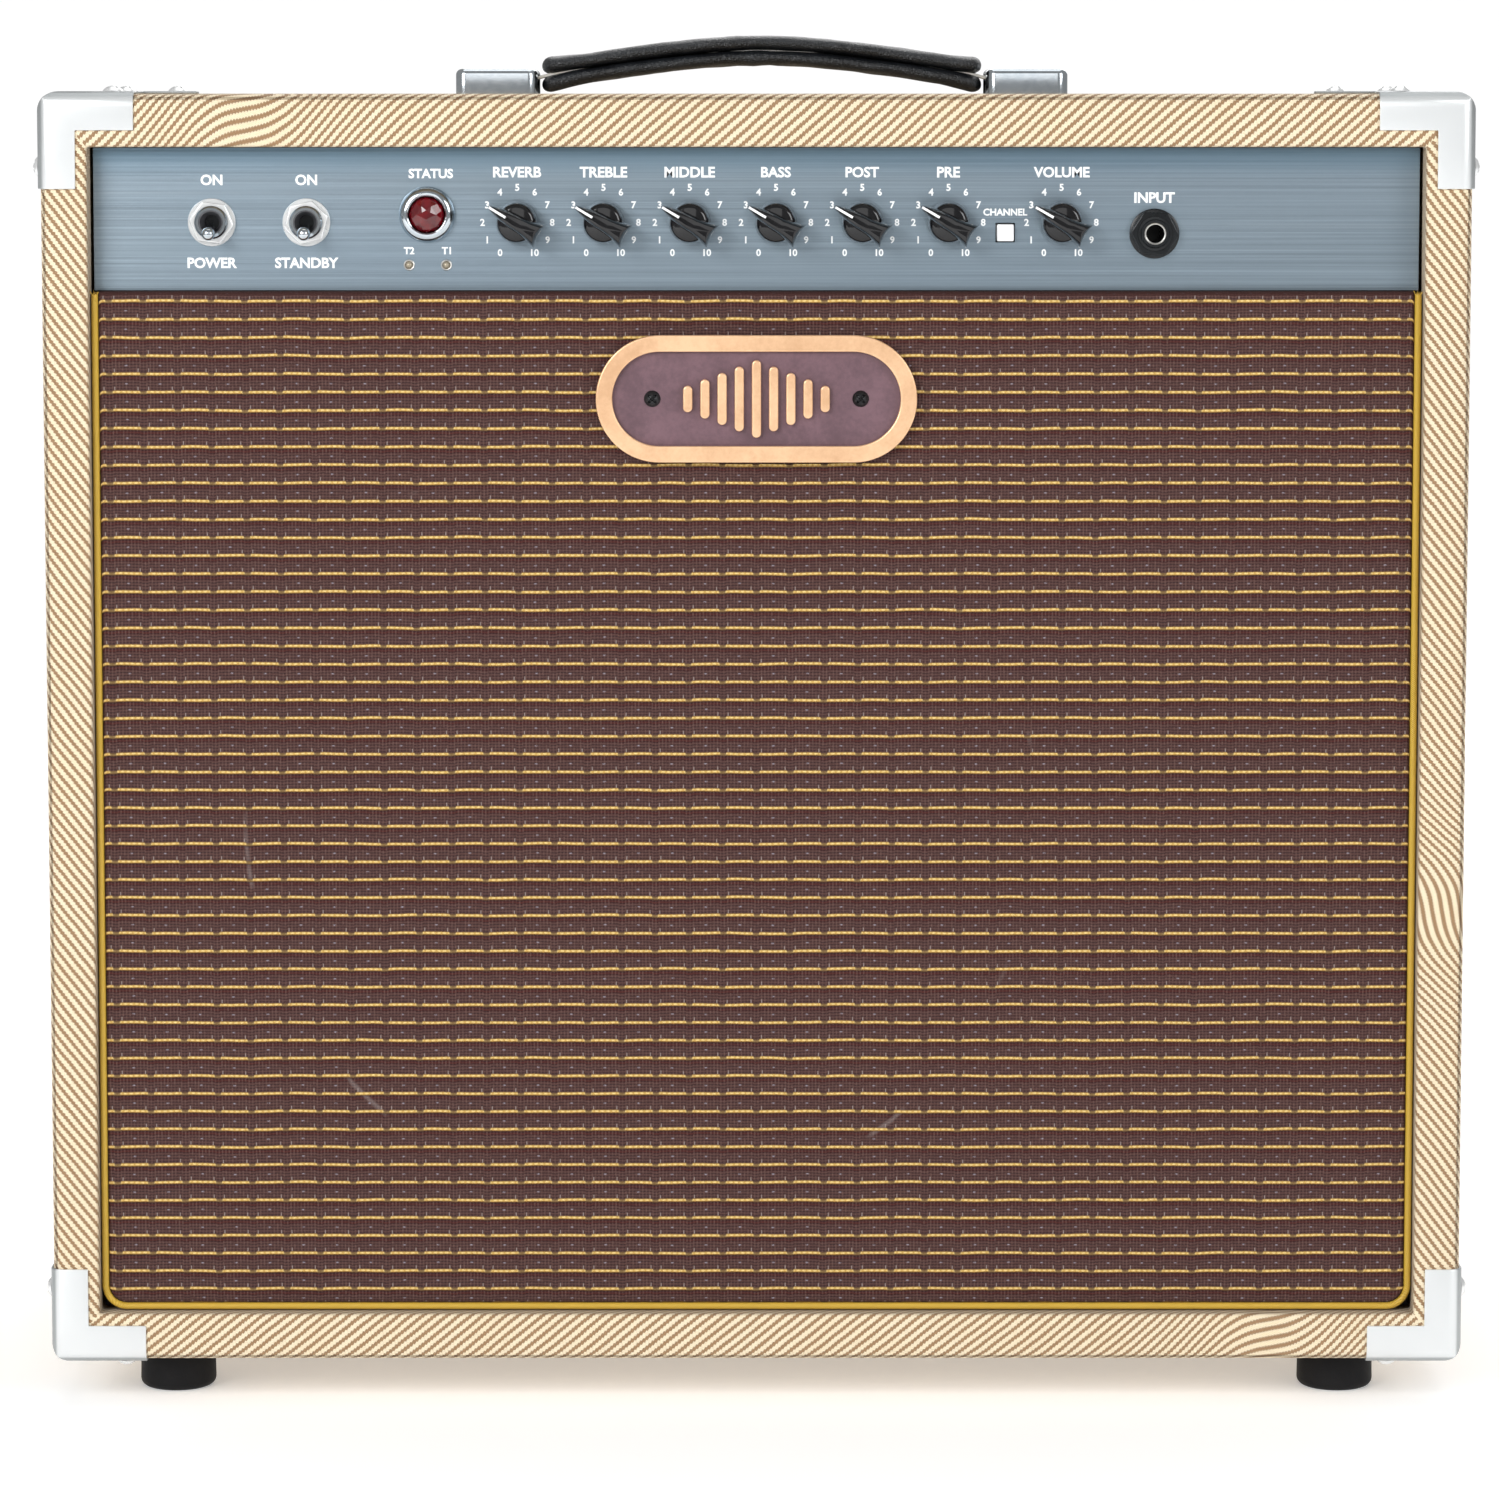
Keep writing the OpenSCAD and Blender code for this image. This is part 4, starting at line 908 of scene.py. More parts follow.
def cross_screw(base, out, radius, height, steps=32):
    """A domed screw head with a cross-shaped recess."""
    curve = (radius ** 2 + height ** 2) / (2 * height)
    profile = [(radius, 0.0)]
    for part in (0.97, 0.88, 0.72, 0.56, 0.44, 0.28, 0.14, 0.0):
        r = radius * part
        profile.append((r, height - curve + math.sqrt(curve ** 2 - r ** 2)))
    profile = [(0.0, 0.0)] + profile
    bm = turned(profile, base, out, steps)
    side = out.orthogonal().normalized()
    other = out.cross(side)
    for vert in bm.verts:
        offset = vert.co - base
        h, u, v = offset.dot(out), offset.dot(side), offset.dot(other)
        within = math.hypot(u, v) < radius * 0.6 and h > height * 0.4
        if within and min(abs(u), abs(v)) < radius * 0.09:
            vert.co -= out * height * 0.45
    return bm


class AMP_OT_feet(bpy.types.Operator):
    """Four moulded rubber feet with a washer sunk in each"""
    bl_idname = "amp.feet"
    bl_label = "Rubber feet"

    def execute(self, context):
        feet = []
        for low, high in solids_of("rubber_feet"):
            centre, r, h = (low + high) / 2, (high.x - low.x) / 2, high.z - low.z
            centre.z = low.z
            profile = [(5.5, h - 5.0), (5.5, 0.7), (6.2, 0.0), (r - 3.4, 0.0)]
            profile += [(r - 3.0 + p, 3.0 + q) for p, q in arc((0, 0), 3.0, -75, 0, 5)]
            profile += [(r - 0.1, h * 0.5), (r, h - 0.9), (r - 0.5, h - 0.1), (2.6, h - 0.1),
                        (2.6, h - 5.0)]
            feet.append((turned(profile, centre, UP, 56, closed=True), "black_rubber"))
            washer = [(2.7, h - 5.9), (5.3, h - 5.9), (5.3, h - 5.1), (2.7, h - 5.1)]
            feet.append((turned(washer, centre, UP, 32, closed=True), "zinc_steel"))
        piece("moulded_feet", feet, replaces=("rubber_feet",))
        return {"FINISHED"}


# ---------- grille and badge ----------

class AMP_OT_grille(bpy.types.Operator):
    """Lined cloth stretched over the grille frame, with ribbed cord piping round it"""
    bl_idname = "amp.grille"
    bl_label = "Grille"

    def execute(self, context):
        low, high = box_mm("grille_cloth")
        radius = 6.5

        def ring(inset, y):
            x0, x1, z0, z1 = low.x + inset, high.x - inset, low.z + inset, high.z - inset
            r = radius - inset
            shape = arc((x1 - r, z0 + r), r, -90, 0, 8) + [(x1, z1), (x0, z1)]
            shape += arc((x0 + r, z0 + r), r, 180, 270, 8)
            return [(x, y, z) for x, z in shape]

        edge = 1.6
        rings = [ring(edge, low.y)]
        rings += [ring(edge - p, low.y + edge - q) for p, q in arc((0, 0), edge, 90, 0, 4)[1:]]
        rings += [ring(0, low.y + 5), ring(0, high.y - 0.2)]
        bm, _ = skinned(rings, cap_start=True)
        flat_uv(bm, lambda co: co.x, lambda co: co.z + (co.y - low.y) * (
            1 if co.z > high.z - 1 else -1 if co.z < low.z + 1 else 0))
        cloth = piece("lined_grille_cloth", [(bm, "grille_cloth")],
                      replaces=("grille_cloth",))
        self.piping()
        return {"FINISHED"}

    def piping(self):
        low, high = box_mm("grille_piping")
        r = (high.y - low.y) / 2
        y = (low.y + high.y) / 2
        bend = 7.9
        x0, x1, z0 = low.x + r, high.x - r, low.z + r
        route = [(x0, high.z - 260 * k / 10) for k in range(10)]
        route += [(x0, z0 + bend + (high.z - 260 - z0 - bend) * (1 - k / 5)) for k in range(5)]
        route += [(x, z) for x, z in arc((x0 + bend, z0 + bend), bend, 180, 270, 12)]
        route += [(x0 + bend + (x1 - x0 - 2 * bend) * k / 20, z0) for k in range(1, 20)]
        route += [(x, z) for x, z in arc((x1 - bend, z0 + bend), bend, 270, 360, 12)]
        route += [(x1, z) for _, z in reversed(route[:15])][1:]
        sides = 14
        rings, lengths = [], [0.0]
        for i, (x, z) in enumerate(route):
            before, after = route[max(i - 1, 0)], route[min(i + 1, len(route) - 1)]
            run = Vector((after[0] - before[0], 0, after[1] - before[1])).normalized()
            across = run.cross(BACK)
            rings.append([Vector((x, y, z)) + across * math.cos(math.tau * k / sides) * r
                          + BACK * math.sin(math.tau * k / sides) * r for k in range(sides)])
            if i:
                lengths.append(lengths[-1] + math.dist(route[i], route[i - 1]))
        bm, rows = skinned(rings, cap_start=True, cap_end=True)
        layer = bm.loops.layers.uv.new("UVMap")
        where = {vert: (j, k) for j, row in enumerate(rows) for k, vert in enumerate(row)}
        turn = math.tau * r / sides
        for face in bm.faces:
            ks = [where[v][1] for v in face.verts]
            wraps = max(ks) - min(ks) > 2 and len(ks) == 4
            for loop in face.loops:
                j, k = where[loop.vert]
                loop[layer].uv = (lengths[j], (k + (sides if wraps and k < 2 else 0)) * turn)
        parts = [(bm, "gold_cord")]
        # loose threads where the cord is cut at the top
        for side in (x0, x1):
            for k in range(9):
                lean = Vector((math.sin(k * 2.4) * 0.9, -0.35 + 0.1 * math.cos(k * 1.7), 0))
                start = Vector((side + math.sin(k * 2.4) * r * 0.6, y, high.z - 0.6))
                length = 1.6 + 1.3 * ((k * 7) % 5) / 5
                fibre = [(0.0, 0.0), (0.16, 0.0), (0.12, length * 0.6), (0.0, length)]
                hair = turned(fibre, start, UP + lean * 0.6, 6)
                flat_uv(hair, lambda co: co.z, lambda co: co.x)
                parts.append((hair, "gold_cord"))
        piece("ribbed_piping", parts, replaces=("grille_piping",), smooth=60)


class AMP_OT_badge(bpy.types.Operator):
    """Plain ornament on the grille: a satin rim and upright bars on a dark backing"""
    bl_idname = "amp.badge"
    bl_label = "Badge"

    def execute(self, context):
        softened("badge_backing", "plum_plastic", 0.5, 3)
        softened("badge_plate", "copper_plate", 0.6, 4)
        screws = []
        for low, high in solids_of("badge_screws"):
            centre = Vector(((low.x + high.x) / 2, low.y + 1.9, (low.z + high.z) / 2))
            screws.append((cross_screw(centre, FRONT, 3.0, 1.9), "black_screw"))
        piece("badge_screw_heads", screws, replaces=("badge_screws",))
        return {"FINISHED"}


# ---------- handle ----------

class AMP_OT_handle(bpy.types.Operator):
    """Strap of two rolled layers over a steel strip, between two plated end caps"""
    bl_idname = "amp.handle"
    bl_label = "Handle"

    def execute(self, context):
        low, high = box_mm("handle_strap")
        centre = (low + high) / 2
        half, width = (high.x - low.x) / 2 - 1.0, (high.y - low.y) / 2
        apex = high.z - 5.5
        drop = 9.8
        layer, sides = 2.75, 24
        near = [1 - 0.05 * p for p in (0, 0.02, 0.08, 0.2, 0.4, 0.7, 1.0)]
        stations = [-t for t in near] + [k / 27 for k in range(-25, 26)] + near[::-1]

        def height(t):
            """Height of the strap's middle at t from -1 at one end to 1 at the other."""
            return apex - drop * (abs(t) ** 1.55 if abs(t) > 0.12 else 0.12 ** 1.55
                                  - (0.0144 - t * t) * 1.2)

        parts = []
        for upper in (1, -1):
            rings = []
            for t in stations:
                # the ends close in a dome and the two layers part there
                close = min(1.0, (1.0 - abs(t)) / 0.05)
                dome = math.sqrt(max(1 - (1 - close) ** 2, 0.0)) if close < 1 else 1.0
                splay = max(abs(t) - 0.80, 0.0) / 0.20
                offset = upper * (layer + 1.5 * splay * splay * (1.5 - splay))
                x = centre.x + half * t
                z = height(t) + offset
                slope = (height(min(t + 0.02, 1)) - height(max(t - 0.02, -1))) / (half * 0.04)
                lean = Vector((1, 0, slope)).normalized().cross(Vector((0, -1, 0)))
                ring = []
                for k in range(sides):
                    a = math.tau * k / sides
                    # a flat pad with full round edges
                    y = math.copysign(abs(math.cos(a)) ** 0.55, math.cos(a)) * width * (
                        0.97 + 0.03 * close)
                    thick = 2.9 + 0.45 * splay
                    h = math.copysign(abs(math.sin(a)) ** 0.8, math.sin(a)) * thick
                    point = Vector((x, centre.y + y * max(dome, 0.04), z)) + lean * -h * max(
                        dome, 0.04)
                    crease = noise.noise(point * 0.11 + Vector((7, 0, upper * 3)))
                    ripple = math.exp(-(t / 0.14) ** 2) * math.sin(x * 1.5) * 0.22
                    sag = crease * 0.35 + (ripple if upper < 0 and h < 0 else 0.0)
                    ring.append(point + UP * sag)
                rings.append(ring)
            bm, _ = skinned(rings, cap_start=True, cap_end=True)
            parts.append((bm, "black_strap"))
        strap = piece("rolled_strap", parts, replaces=("handle_strap",), smooth=80)
        top = box_mm("handle_end_caps")[1].z
        caps = bevelled(from_cad("handle_end_caps"), 2.2, 5, 40, only=lambda e: all(
            v.co.z > top - 0.01 for v in e.verts))
        piece("plated_end_caps", [(caps, "chrome")], replaces=("handle_end_caps",))
        softened("handle_core", "spring_steel", 0.2, 2)
        return {"FINISHED"}


# ---------- control panel ----------

def panel_face():
    """Depth of the panel's front face."""
    return box_mm("control_panel")[0].y


def lettering(text, height, at, turn=0.0):
    """Raised lettering on the panel: capitals of that height centred at (x, z)."""
    curve = bpy.data.curves.new("letters", "FONT")
    curve.body = text
    curve.align_x, curve.align_y = "CENTER", "CENTER"
    curve.resolution_u = 3
    curve.offset = 0.03
    curve.extrude = 0.012
    obj = bpy.data.objects.new("letters", curve)
    bpy.context.scene.collection.objects.link(obj)
    mesh = bpy.data.meshes.new_from_object(obj)
    bpy.data.objects.remove(obj)
    bpy.data.curves.remove(curve)
    bm = bmesh.new()
    bm.from_mesh(mesh)
    bpy.data.meshes.remove(mesh)
    ys = [v.co.y for v in bm.verts]
    size = height / (max(ys) - min(ys))
    middle = (max(ys) + min(ys)) / 2
    xs = [v.co.x for v in bm.verts]
    centre = (max(xs) + min(xs)) / 2
    # flat letters face +Z, so they are stood up to face -Y
    stand = (Matrix.Translation((at[0], panel_face() - 0.03, at[1]))
             @ Matrix.Rotation(math.pi / 2, 4, "X") @ Matrix.Scale(size, 4)
             @ Matrix.Translation((-centre, -middle, 0)))
    bmesh.ops.transform(bm, matrix=stand, verts=bm.verts)
    return bm


KNOBS = ("reverb", "treble", "middle", "bass", "post_gain", "pre_gain", "volume")


def middle_of(node):
    low, high = box_mm(node)
    return (low + high) / 2


def knob_axis(name):
    """The joint's axis point of a knob, in millimetres."""
    for joint in frame["joints"]:
        if joint["child"] == name + "_knob":
            return Vector(joint["pos_m"]) / MM
    raise ValueError("no joint turns the knob " + name)


class AMP_OT_panel(bpy.types.Operator):
    """Brushed steel control panel with its lettering and dial numbers"""
    bl_idname = "amp.panel"
    bl_label = "Control panel"

    def execute(self, context):
        panel = context.scene.amp_panel
        softened("control_panel", "brushed_panel", 0.2, 2)
        letters = []
        big, small = panel.label_height, 2.6
        for name in KNOBS:
            at = knob_axis(name)
            label = {"post_gain": "POST", "pre_gain": "PRE"}.get(name, name.upper())
            letters.append(lettering(label, big, (at.x, at.z + 18.1)))
            for number in range(11):
                angle = math.radians(-150 + 30 * number)
                spot = (at.x + panel.dial_radius * math.sin(angle),
                        at.z + panel.dial_radius * math.cos(angle))
                letters.append(lettering(str(number), panel.number_height, spot))
        for node, label in (("power_lever", "POWER"), ("standby_lever", "STANDBY")):
            x, z = middle_of(node).x, knob_axis("reverb").z
            letters.append(lettering("ON", big, (x, z + 15.3)))
            letters.append(lettering(label, big, (x, z - 14.6)))
        pilot = middle_of("pilot_bezel")
        letters.append(lettering("STATUS", 3.5, (pilot.x + 1.4, pilot.z + 14.8)))
        for number, (low, high) in zip("21", solids_of("status_leds")):
            spot = ((low.x + high.x) / 2, (low.z + high.z) / 2 + 5.2)
            letters.append(lettering("T" + number, small, spot))
        button, jack = middle_of("channel_button"), middle_of("input_jack")
        letters.append(lettering("CHANNEL", small, (button.x, button.z + 7.4)))
        letters.append(lettering("INPUT", big, (jack.x, jack.z + 12.9)))
        piece("panel_lettering", [(bm, "white_ink") for bm in letters])
        return {"FINISHED"}


def pointer_ring(scale, top):
    """The pointer's outline seen from the front, nose towards +Z."""
    half = [(0.0, 12.2), (0.75, 11.4), (1.7, 8.6), (2.55, 5.4), (3.1, 1.5), (3.2, -2.4),
            (3.7, -5.8), (4.9, -9.9), (2.6, -9.4), (0.0, -9.2)]
    points = half + [(-x, z) for x, z in half[-2:0:-1]]
    return [Vector((x * scale, -top, z * (1 - (1 - scale) * 0.35))) for x, z in points]


def knob_shape():
    """A knob about the origin: its axis along -Y, its nose towards +Z."""
    lift = 2.6
    body = [(4.6, lift), (7.2, lift), (7.7, lift + 0.5), (7.55, lift + 1.6), (7.2, lift + 4.6),
            (6.9, lift + 6.2), (6.4, lift + 7.0), (5.4, lift + 7.5), (0.0, lift + 7.8)]
    skirt = turned([(0.0, lift)] + body, (0, 0, 0), FRONT, 56)
    levels = [(1.0, 3.2), (0.99, 8.0), (0.93, 12.0), (0.80, 14.6), (0.62, 15.7), (0.34, 16.0)]
    rings = []
    for scale, top in levels:
        ring = pointer_ring(scale, top)
        for point in ring:
            # the ridge falls towards the nose
            fall = max(point.z - 2.0, 0.0) / 10.2
            point.y += (top - 3.2) * 0.42 * fall ** 1.6
        rings.append(ring)
    blade, _ = skinned(rings, cap_start=True, cap_end=True)
    line = []
    for z in (11.3, 9.6, 7.8, 6.0, 4.2):
        fall = max(z - 2.0, 0.0) / 10.2
        line.append((z, 16.0 - 12.8 * 0.42 * fall ** 1.6))
    stripe, _ = skinned([[Vector((sx * 0.42, -(top + lift_by), z)) for sx, lift_by in
                          ((-1, -0.9), (-1, 0.1), (1, 0.1), (1, -0.9))] for z, top in line],
                        cap_start=True, cap_end=True)
    shaft = turned([(0.0, 9.0), (3.0, 9.0), (3.0, -11.0), (2.6, -12.0), (0.0, -12.0)],
                   (0, 0, 0), FRONT, 32)
    return skirt, blade, stripe, shaft


class AMP_OT_knobs(bpy.types.Operator):
    """Seven glossy pointer knobs, each on its own shaft"""
    bl_idname = "amp.knobs"
    bl_label = "Knobs"

    def execute(self, context):
        for name in KNOBS:
            at = knob_axis(name)
            turn = Matrix.Translation((at.x, panel_face(), at.z)) @ Matrix.Rotation(
                math.radians(-60), 4, "Y")
            shapes = knob_shape()
            for bm in shapes:
                bmesh.ops.transform(bm, matrix=turn, verts=bm.verts)
                bmesh.ops.recalc_face_normals(bm, faces=bm.faces)
            looks = ("knob_plastic", "knob_plastic", "white_ink", "brass")
            piece(name + "_pointer_knob", list(zip(shapes, looks)),
                  name + "_knob", (name + "_knob",), smooth=32)
        return {"FINISHED"}


def opened(bm, face, centre, out, radius, segments=36):
    """Cuts a round opening in a flat end face; returns the opening's edges."""
    planar = bm.faces.layers.int.get("planar")
    around = face.edges[:]
    level = centre + out * (face.calc_center_median() - centre).dot(out)
    place = Matrix.Translation(level) @ out.to_track_quat("Z", "X").to_matrix().to_4x4()
    bmesh.ops.delete(bm, geom=[face], context="FACES_ONLY")
    made = set(bmesh.ops.create_circle(bm, segments=segments, radius=radius,
                                       matrix=place)["verts"])
    circle = [edge for edge in bm.edges if edge.verts[0] in made and edge.verts[1] in made]
    filled = bmesh.ops.triangle_fill(bm, edges=around + circle, use_beauty=True,
                                     normal=out)["geom"]
    for rim in filled:
        if isinstance(rim, bmesh.types.BMFace):
            rim[planar] = 1
    return circle


def end_faces(bm, out):
    """The flat end faces across an axis, the one furthest along it last."""
    ends = [face for face in bm.faces if abs(face.normal.dot(out)) > 0.999]
    return sorted(ends, key=lambda face: face.calc_center_median().dot(out))


def hexagon_nut(seat, out, across_flats, bore, start, height, turn=0.0):
    """A chamfered nut with its hole, from start to start + height along out."""
    side = out.orthogonal().normalized()
    other = out.cross(side)
    corner = across_flats / math.sqrt(3)
    angles = [math.radians(60 * k + turn) for k in range(6)]
    bm = bevelled(prism([seat + out * start + side * math.cos(a) * corner
                         + other * math.sin(a) * corner for a in angles], out * height), 0.45, 3)
    ends = end_faces(bm, out)
    if len(ends) != 2:
        raise RuntimeError("a nut needs two flat ends, found %d" % len(ends))
    rims = [opened(bm, face, seat, out, bore) for face in ends]
    bmesh.ops.bridge_loops(bm, edges=rims[0] + rims[1])
    bmesh.ops.recalc_face_normals(bm, faces=bm.faces)
    return bm


def blind_hole(bm, centre, out, radius, floor):
    """A round hole in a solid's outermost end, down to a flat floor at a level along out."""
    face = end_faces(bm, out)[-1]
    depth = (face.calc_center_median() - centre).dot(out) - floor
    mouth = opened(bm, face, centre, out, radius)
    made = bmesh.ops.extrude_edge_only(bm, edges=mouth)["geom"]
    bmesh.ops.translate(bm, vec=-out * depth,
                        verts=[g for g in made if isinstance(g, bmesh.types.BMVert)])
    bmesh.ops.holes_fill(bm, edges=[e for e in bm.edges if e.is_boundary], sides=0)
    bmesh.ops.recalc_face_normals(bm, faces=bm.faces)
    return bm


def threads(r, start, stop, pitch=0.7):
    """Profile of a threaded bushing from start to stop."""
    count = int((stop - start) / pitch)
    line = []
    for k in range(count):
        line += [(r - 0.28, start + pitch * k), (r, start + pitch * (k + 0.5))]
    return line + [(r - 0.28, stop)]


class AMP_OT_toggles(bpy.types.Operator):
    """Two bat-lever toggle switches with washers and hexagon nuts"""
    bl_idname = "amp.toggles"
    bl_label = "Toggle switches"

    def execute(self, context):
        face = panel_face()
        nuts, bodies = [], []
        for index, node in enumerate(("power_lever", "standby_lever")):
            joint = next(j for j in frame["joints"] if j["child"] == node)
            pivot = Vector(joint["pos_m"]) / MM
            seat = Vector((pivot.x, face, pivot.z))
            washer = [(6.1, 0.02), (8.5, 0.02), (8.7, 0.35), (8.5, 0.78), (6.1, 0.78)]
            nuts.append((turned(washer, seat, FRONT, 48, closed=True), "nickel"))
            nut = hexagon_nut(seat, FRONT, 14.3, 6.0, 0.86, 2.2, 8 + 22 * index)
            nuts.append((nut, "nickel"))
            bush = [(4.4, 5.0), (5.4, 5.0)] + [
                (r, 5.0 - h) for r, h in threads(5.95, 0.3, 4.6)] + [(5.95, 0.0), (5.95, -2.5),
                                                                  (2.9, -2.5), (2.9, -1.0)]
            bodies.append((turned(bush, seat, FRONT, 40, closed=True), "chrome"))
            # a thin dark cone inside the bushing stands in for the shade in its recess
            recess_shade_cone = [(4.25, 4.9), (2.8, -0.9), (2.6, -0.9), (4.05, 4.95)]
            bodies.append((turned(recess_shade_cone, seat, FRONT, 40, closed=True), "anode_grey"))
            case = prism([(seat.x + x, face + 1.6, seat.z + z) for x, z in
                          rounded_outline((-6.5, -12.5), (6.5, 12.5), 0.8, 2)], BACK * 20)
            bodies.append((bevelled(case, 0.5, 2), "black_plastic"))
            self.lever(node, pivot)
        piece("toggle_nuts_and_washers", nuts, replaces=("toggle_nuts",))
        piece("toggle_switch_bodies", bodies, replaces=("toggle_switches",))
        return {"FINISHED"}

    def lever(self, node, pivot):
        low = box_mm(node)[0]
        tip = 2.4
        down = Vector((0, low.y + tip - pivot.y, low.z + tip - pivot.z))
        reach = down.length
        profile = [(0.0, -2.1)] + [(p, q) for p, q in arc((0, 0), 2.1, -70, 50, 8)]
        profile += [(1.35, 3.0), (1.45, reach * 0.4), (1.9, reach * 0.7), (2.3, reach - 1.2)]
        profile += [(p, reach + q) for p, q in arc((0, 0), tip, 0, 80, 7)] + [(0.0, reach + tip)]
        piece(node + "_bat", [(turned(profile, pivot, down, 32), "chrome")], node,
              (node,), smooth=50)


class AMP_OT_indicators(bpy.types.Operator):
    """Pilot jewel in its bezel and two small status lamps"""
    bl_idname = "amp.indicators"
    bl_label = "Indicators"

    def execute(self, context):
        face = panel_face()
        low, high = box_mm("pilot_bezel")
        seat = Vector(((low.x + high.x) / 2, face, (low.z + high.z) / 2))
        ring = [(6.6, -22.0), (6.6, 2.9), (6.75, 3.5), (7.2, 3.8), (7.8, 3.75), (8.6, 3.35),
                (9.3, 2.7), (9.8, 1.9), (10.15, 1.0), (10.2, 0.3), (10.0, 0.02), (7.5, 0.02),
                (7.5, -22.0)]
        piece("pilot_bezel_ring", [(turned(ring, seat, FRONT, 72, closed=True), "chrome")],
              replaces=("pilot_bezel",))
        jewel = bmesh.new()
        for radius, out, count, turn in ((6.4, -3.0, 12, 0), (6.4, 2.6, 12, 0),
                                         (5.5, 4.1, 12, 15), (3.6, 5.6, 6, 0), (1.7, 6.3, 6, 30)):
            for k in range(count):
                a = math.radians(turn + 360 * k / count)
                jewel.verts.new(seat + FRONT * out + Vector((math.cos(a), 0, math.sin(a))) * radius)
        bmesh.ops.convex_hull(jewel, input=jewel.verts)
        bmesh.ops.recalc_face_normals(jewel, faces=jewel.faces)
        piece("faceted_jewel", [(jewel, "red_jewel")], replaces=("pilot_jewel",),
              smooth=4)
        lamps = []
        for low, high in solids_of("status_leds"):
            seat = Vector(((low.x + high.x) / 2, face, (low.z + high.z) / 2))
            dome = [(0.0, -4.0), (1.5, -4.0), (1.5, 0.1)] + [
                (p, q) for p, q in arc((0, 0.1), 1.3, 8, 80, 6)] + [(0.0, 1.4)]
            lamps.append((turned(dome, seat, FRONT, 28), "led_lens"))
            rim = [(1.52, 0.02), (2.0, 0.02), (2.0, 0.25), (1.75, 0.4), (1.52, 0.35)]
            lamps.append((turned(rim, seat, FRONT, 28, closed=True), "zinc_steel"))
        piece("status_lamps", lamps, replaces=("status_leds",))
        return {"FINISHED"}


class AMP_OT_button_and_jacks(bpy.types.Operator):
    """Channel button, input jack and the two jacks and mains inlet at the back"""
    bl_idname = "amp.button_and_jacks"
    bl_label = "Button and sockets"

    def execute(self, context):
        softened("channel_button", "white_button", 0.45, 3, body="channel_button")
        softened("channel_switch", "black_plastic", 0.3, 2)
        low, high = box_mm("input_jack")
        piece("input_jack_socket",
              self.jack(Vector(((low.x + high.x) / 2, panel_face(), (low.z + high.z) / 2)),
                        FRONT, 9.0, 6.15, 21.0, 1.6), replaces=("input_jack",))
        rear, depth = [], box_mm("chassis")[1].y
        for a, b in solids_of("rear_jacks"):
            if b.x - a.x > 16:
                seat = Vector(((a.x + b.x) / 2, depth, (a.z + b.z) / 2))
                rear += self.jack(seat, BACK, 7.5, 4.75, 20.0, 1.3)
        piece("rear_jack_sockets", rear, replaces=("rear_jacks",))
        softened("mains_inlet", "black_plastic", 0.35, 2)
        return {"FINISHED"}

    def jack(self, seat, out, nut_r, bush_r, box, behind):
        """Nut, collar and body of a socket whose bore is open at the front."""
        turn = out.to_track_quat("Z", "X").to_matrix()
        up = turn @ Vector((1, 0, 0))
        across = out.cross(up)
        flange = [(bush_r + 0.1, 0.02), (nut_r, 0.02), (nut_r, 1.3), (nut_r - 0.5, 1.6),
                  (bush_r + 0.1, 1.6)]
        hexed = hexagon_nut(seat, out, nut_r * 1.72, bush_r + 0.05, 1.62, 2.3, 12)
        collar = [(JACK_BORE_R, 5.1), (3.6, 5.5), (bush_r - 1.3, 5.5), (bush_r - 1.0, 5.2),
                  (bush_r - 0.9, 4.7), (bush_r, 4.6), (bush_r, -behind),
                  (JACK_BORE_R, -behind)]
        sleeve = [(3.27, 4.9), (3.35, 5.55), (3.7, 5.75), (4.0, 5.45), (4.0, 4.9)]
        half = box / 2
        corners = [(up * u + across * v) for u, v in
                   rounded_outline((-half, -half), (half, half), 1.2, 3)]
        case = bevelled(prism([seat - out * behind + c for c in corners], -out * 24), 0.5, 2)
        case = blind_hole(case, seat, out, JACK_BORE_R, JACK_FLOOR)
        return [(turned(flange, seat, out, 48, closed=True), "black_plastic"),
                (hexed, "black_plastic"),
                (turned(collar, seat, out, 48, closed=True), "black_plastic"),
                (turned(sleeve, seat, out, 36, closed=True), "zinc_steel"),
                (case, "black_plastic")]


# ---------- inside ----------

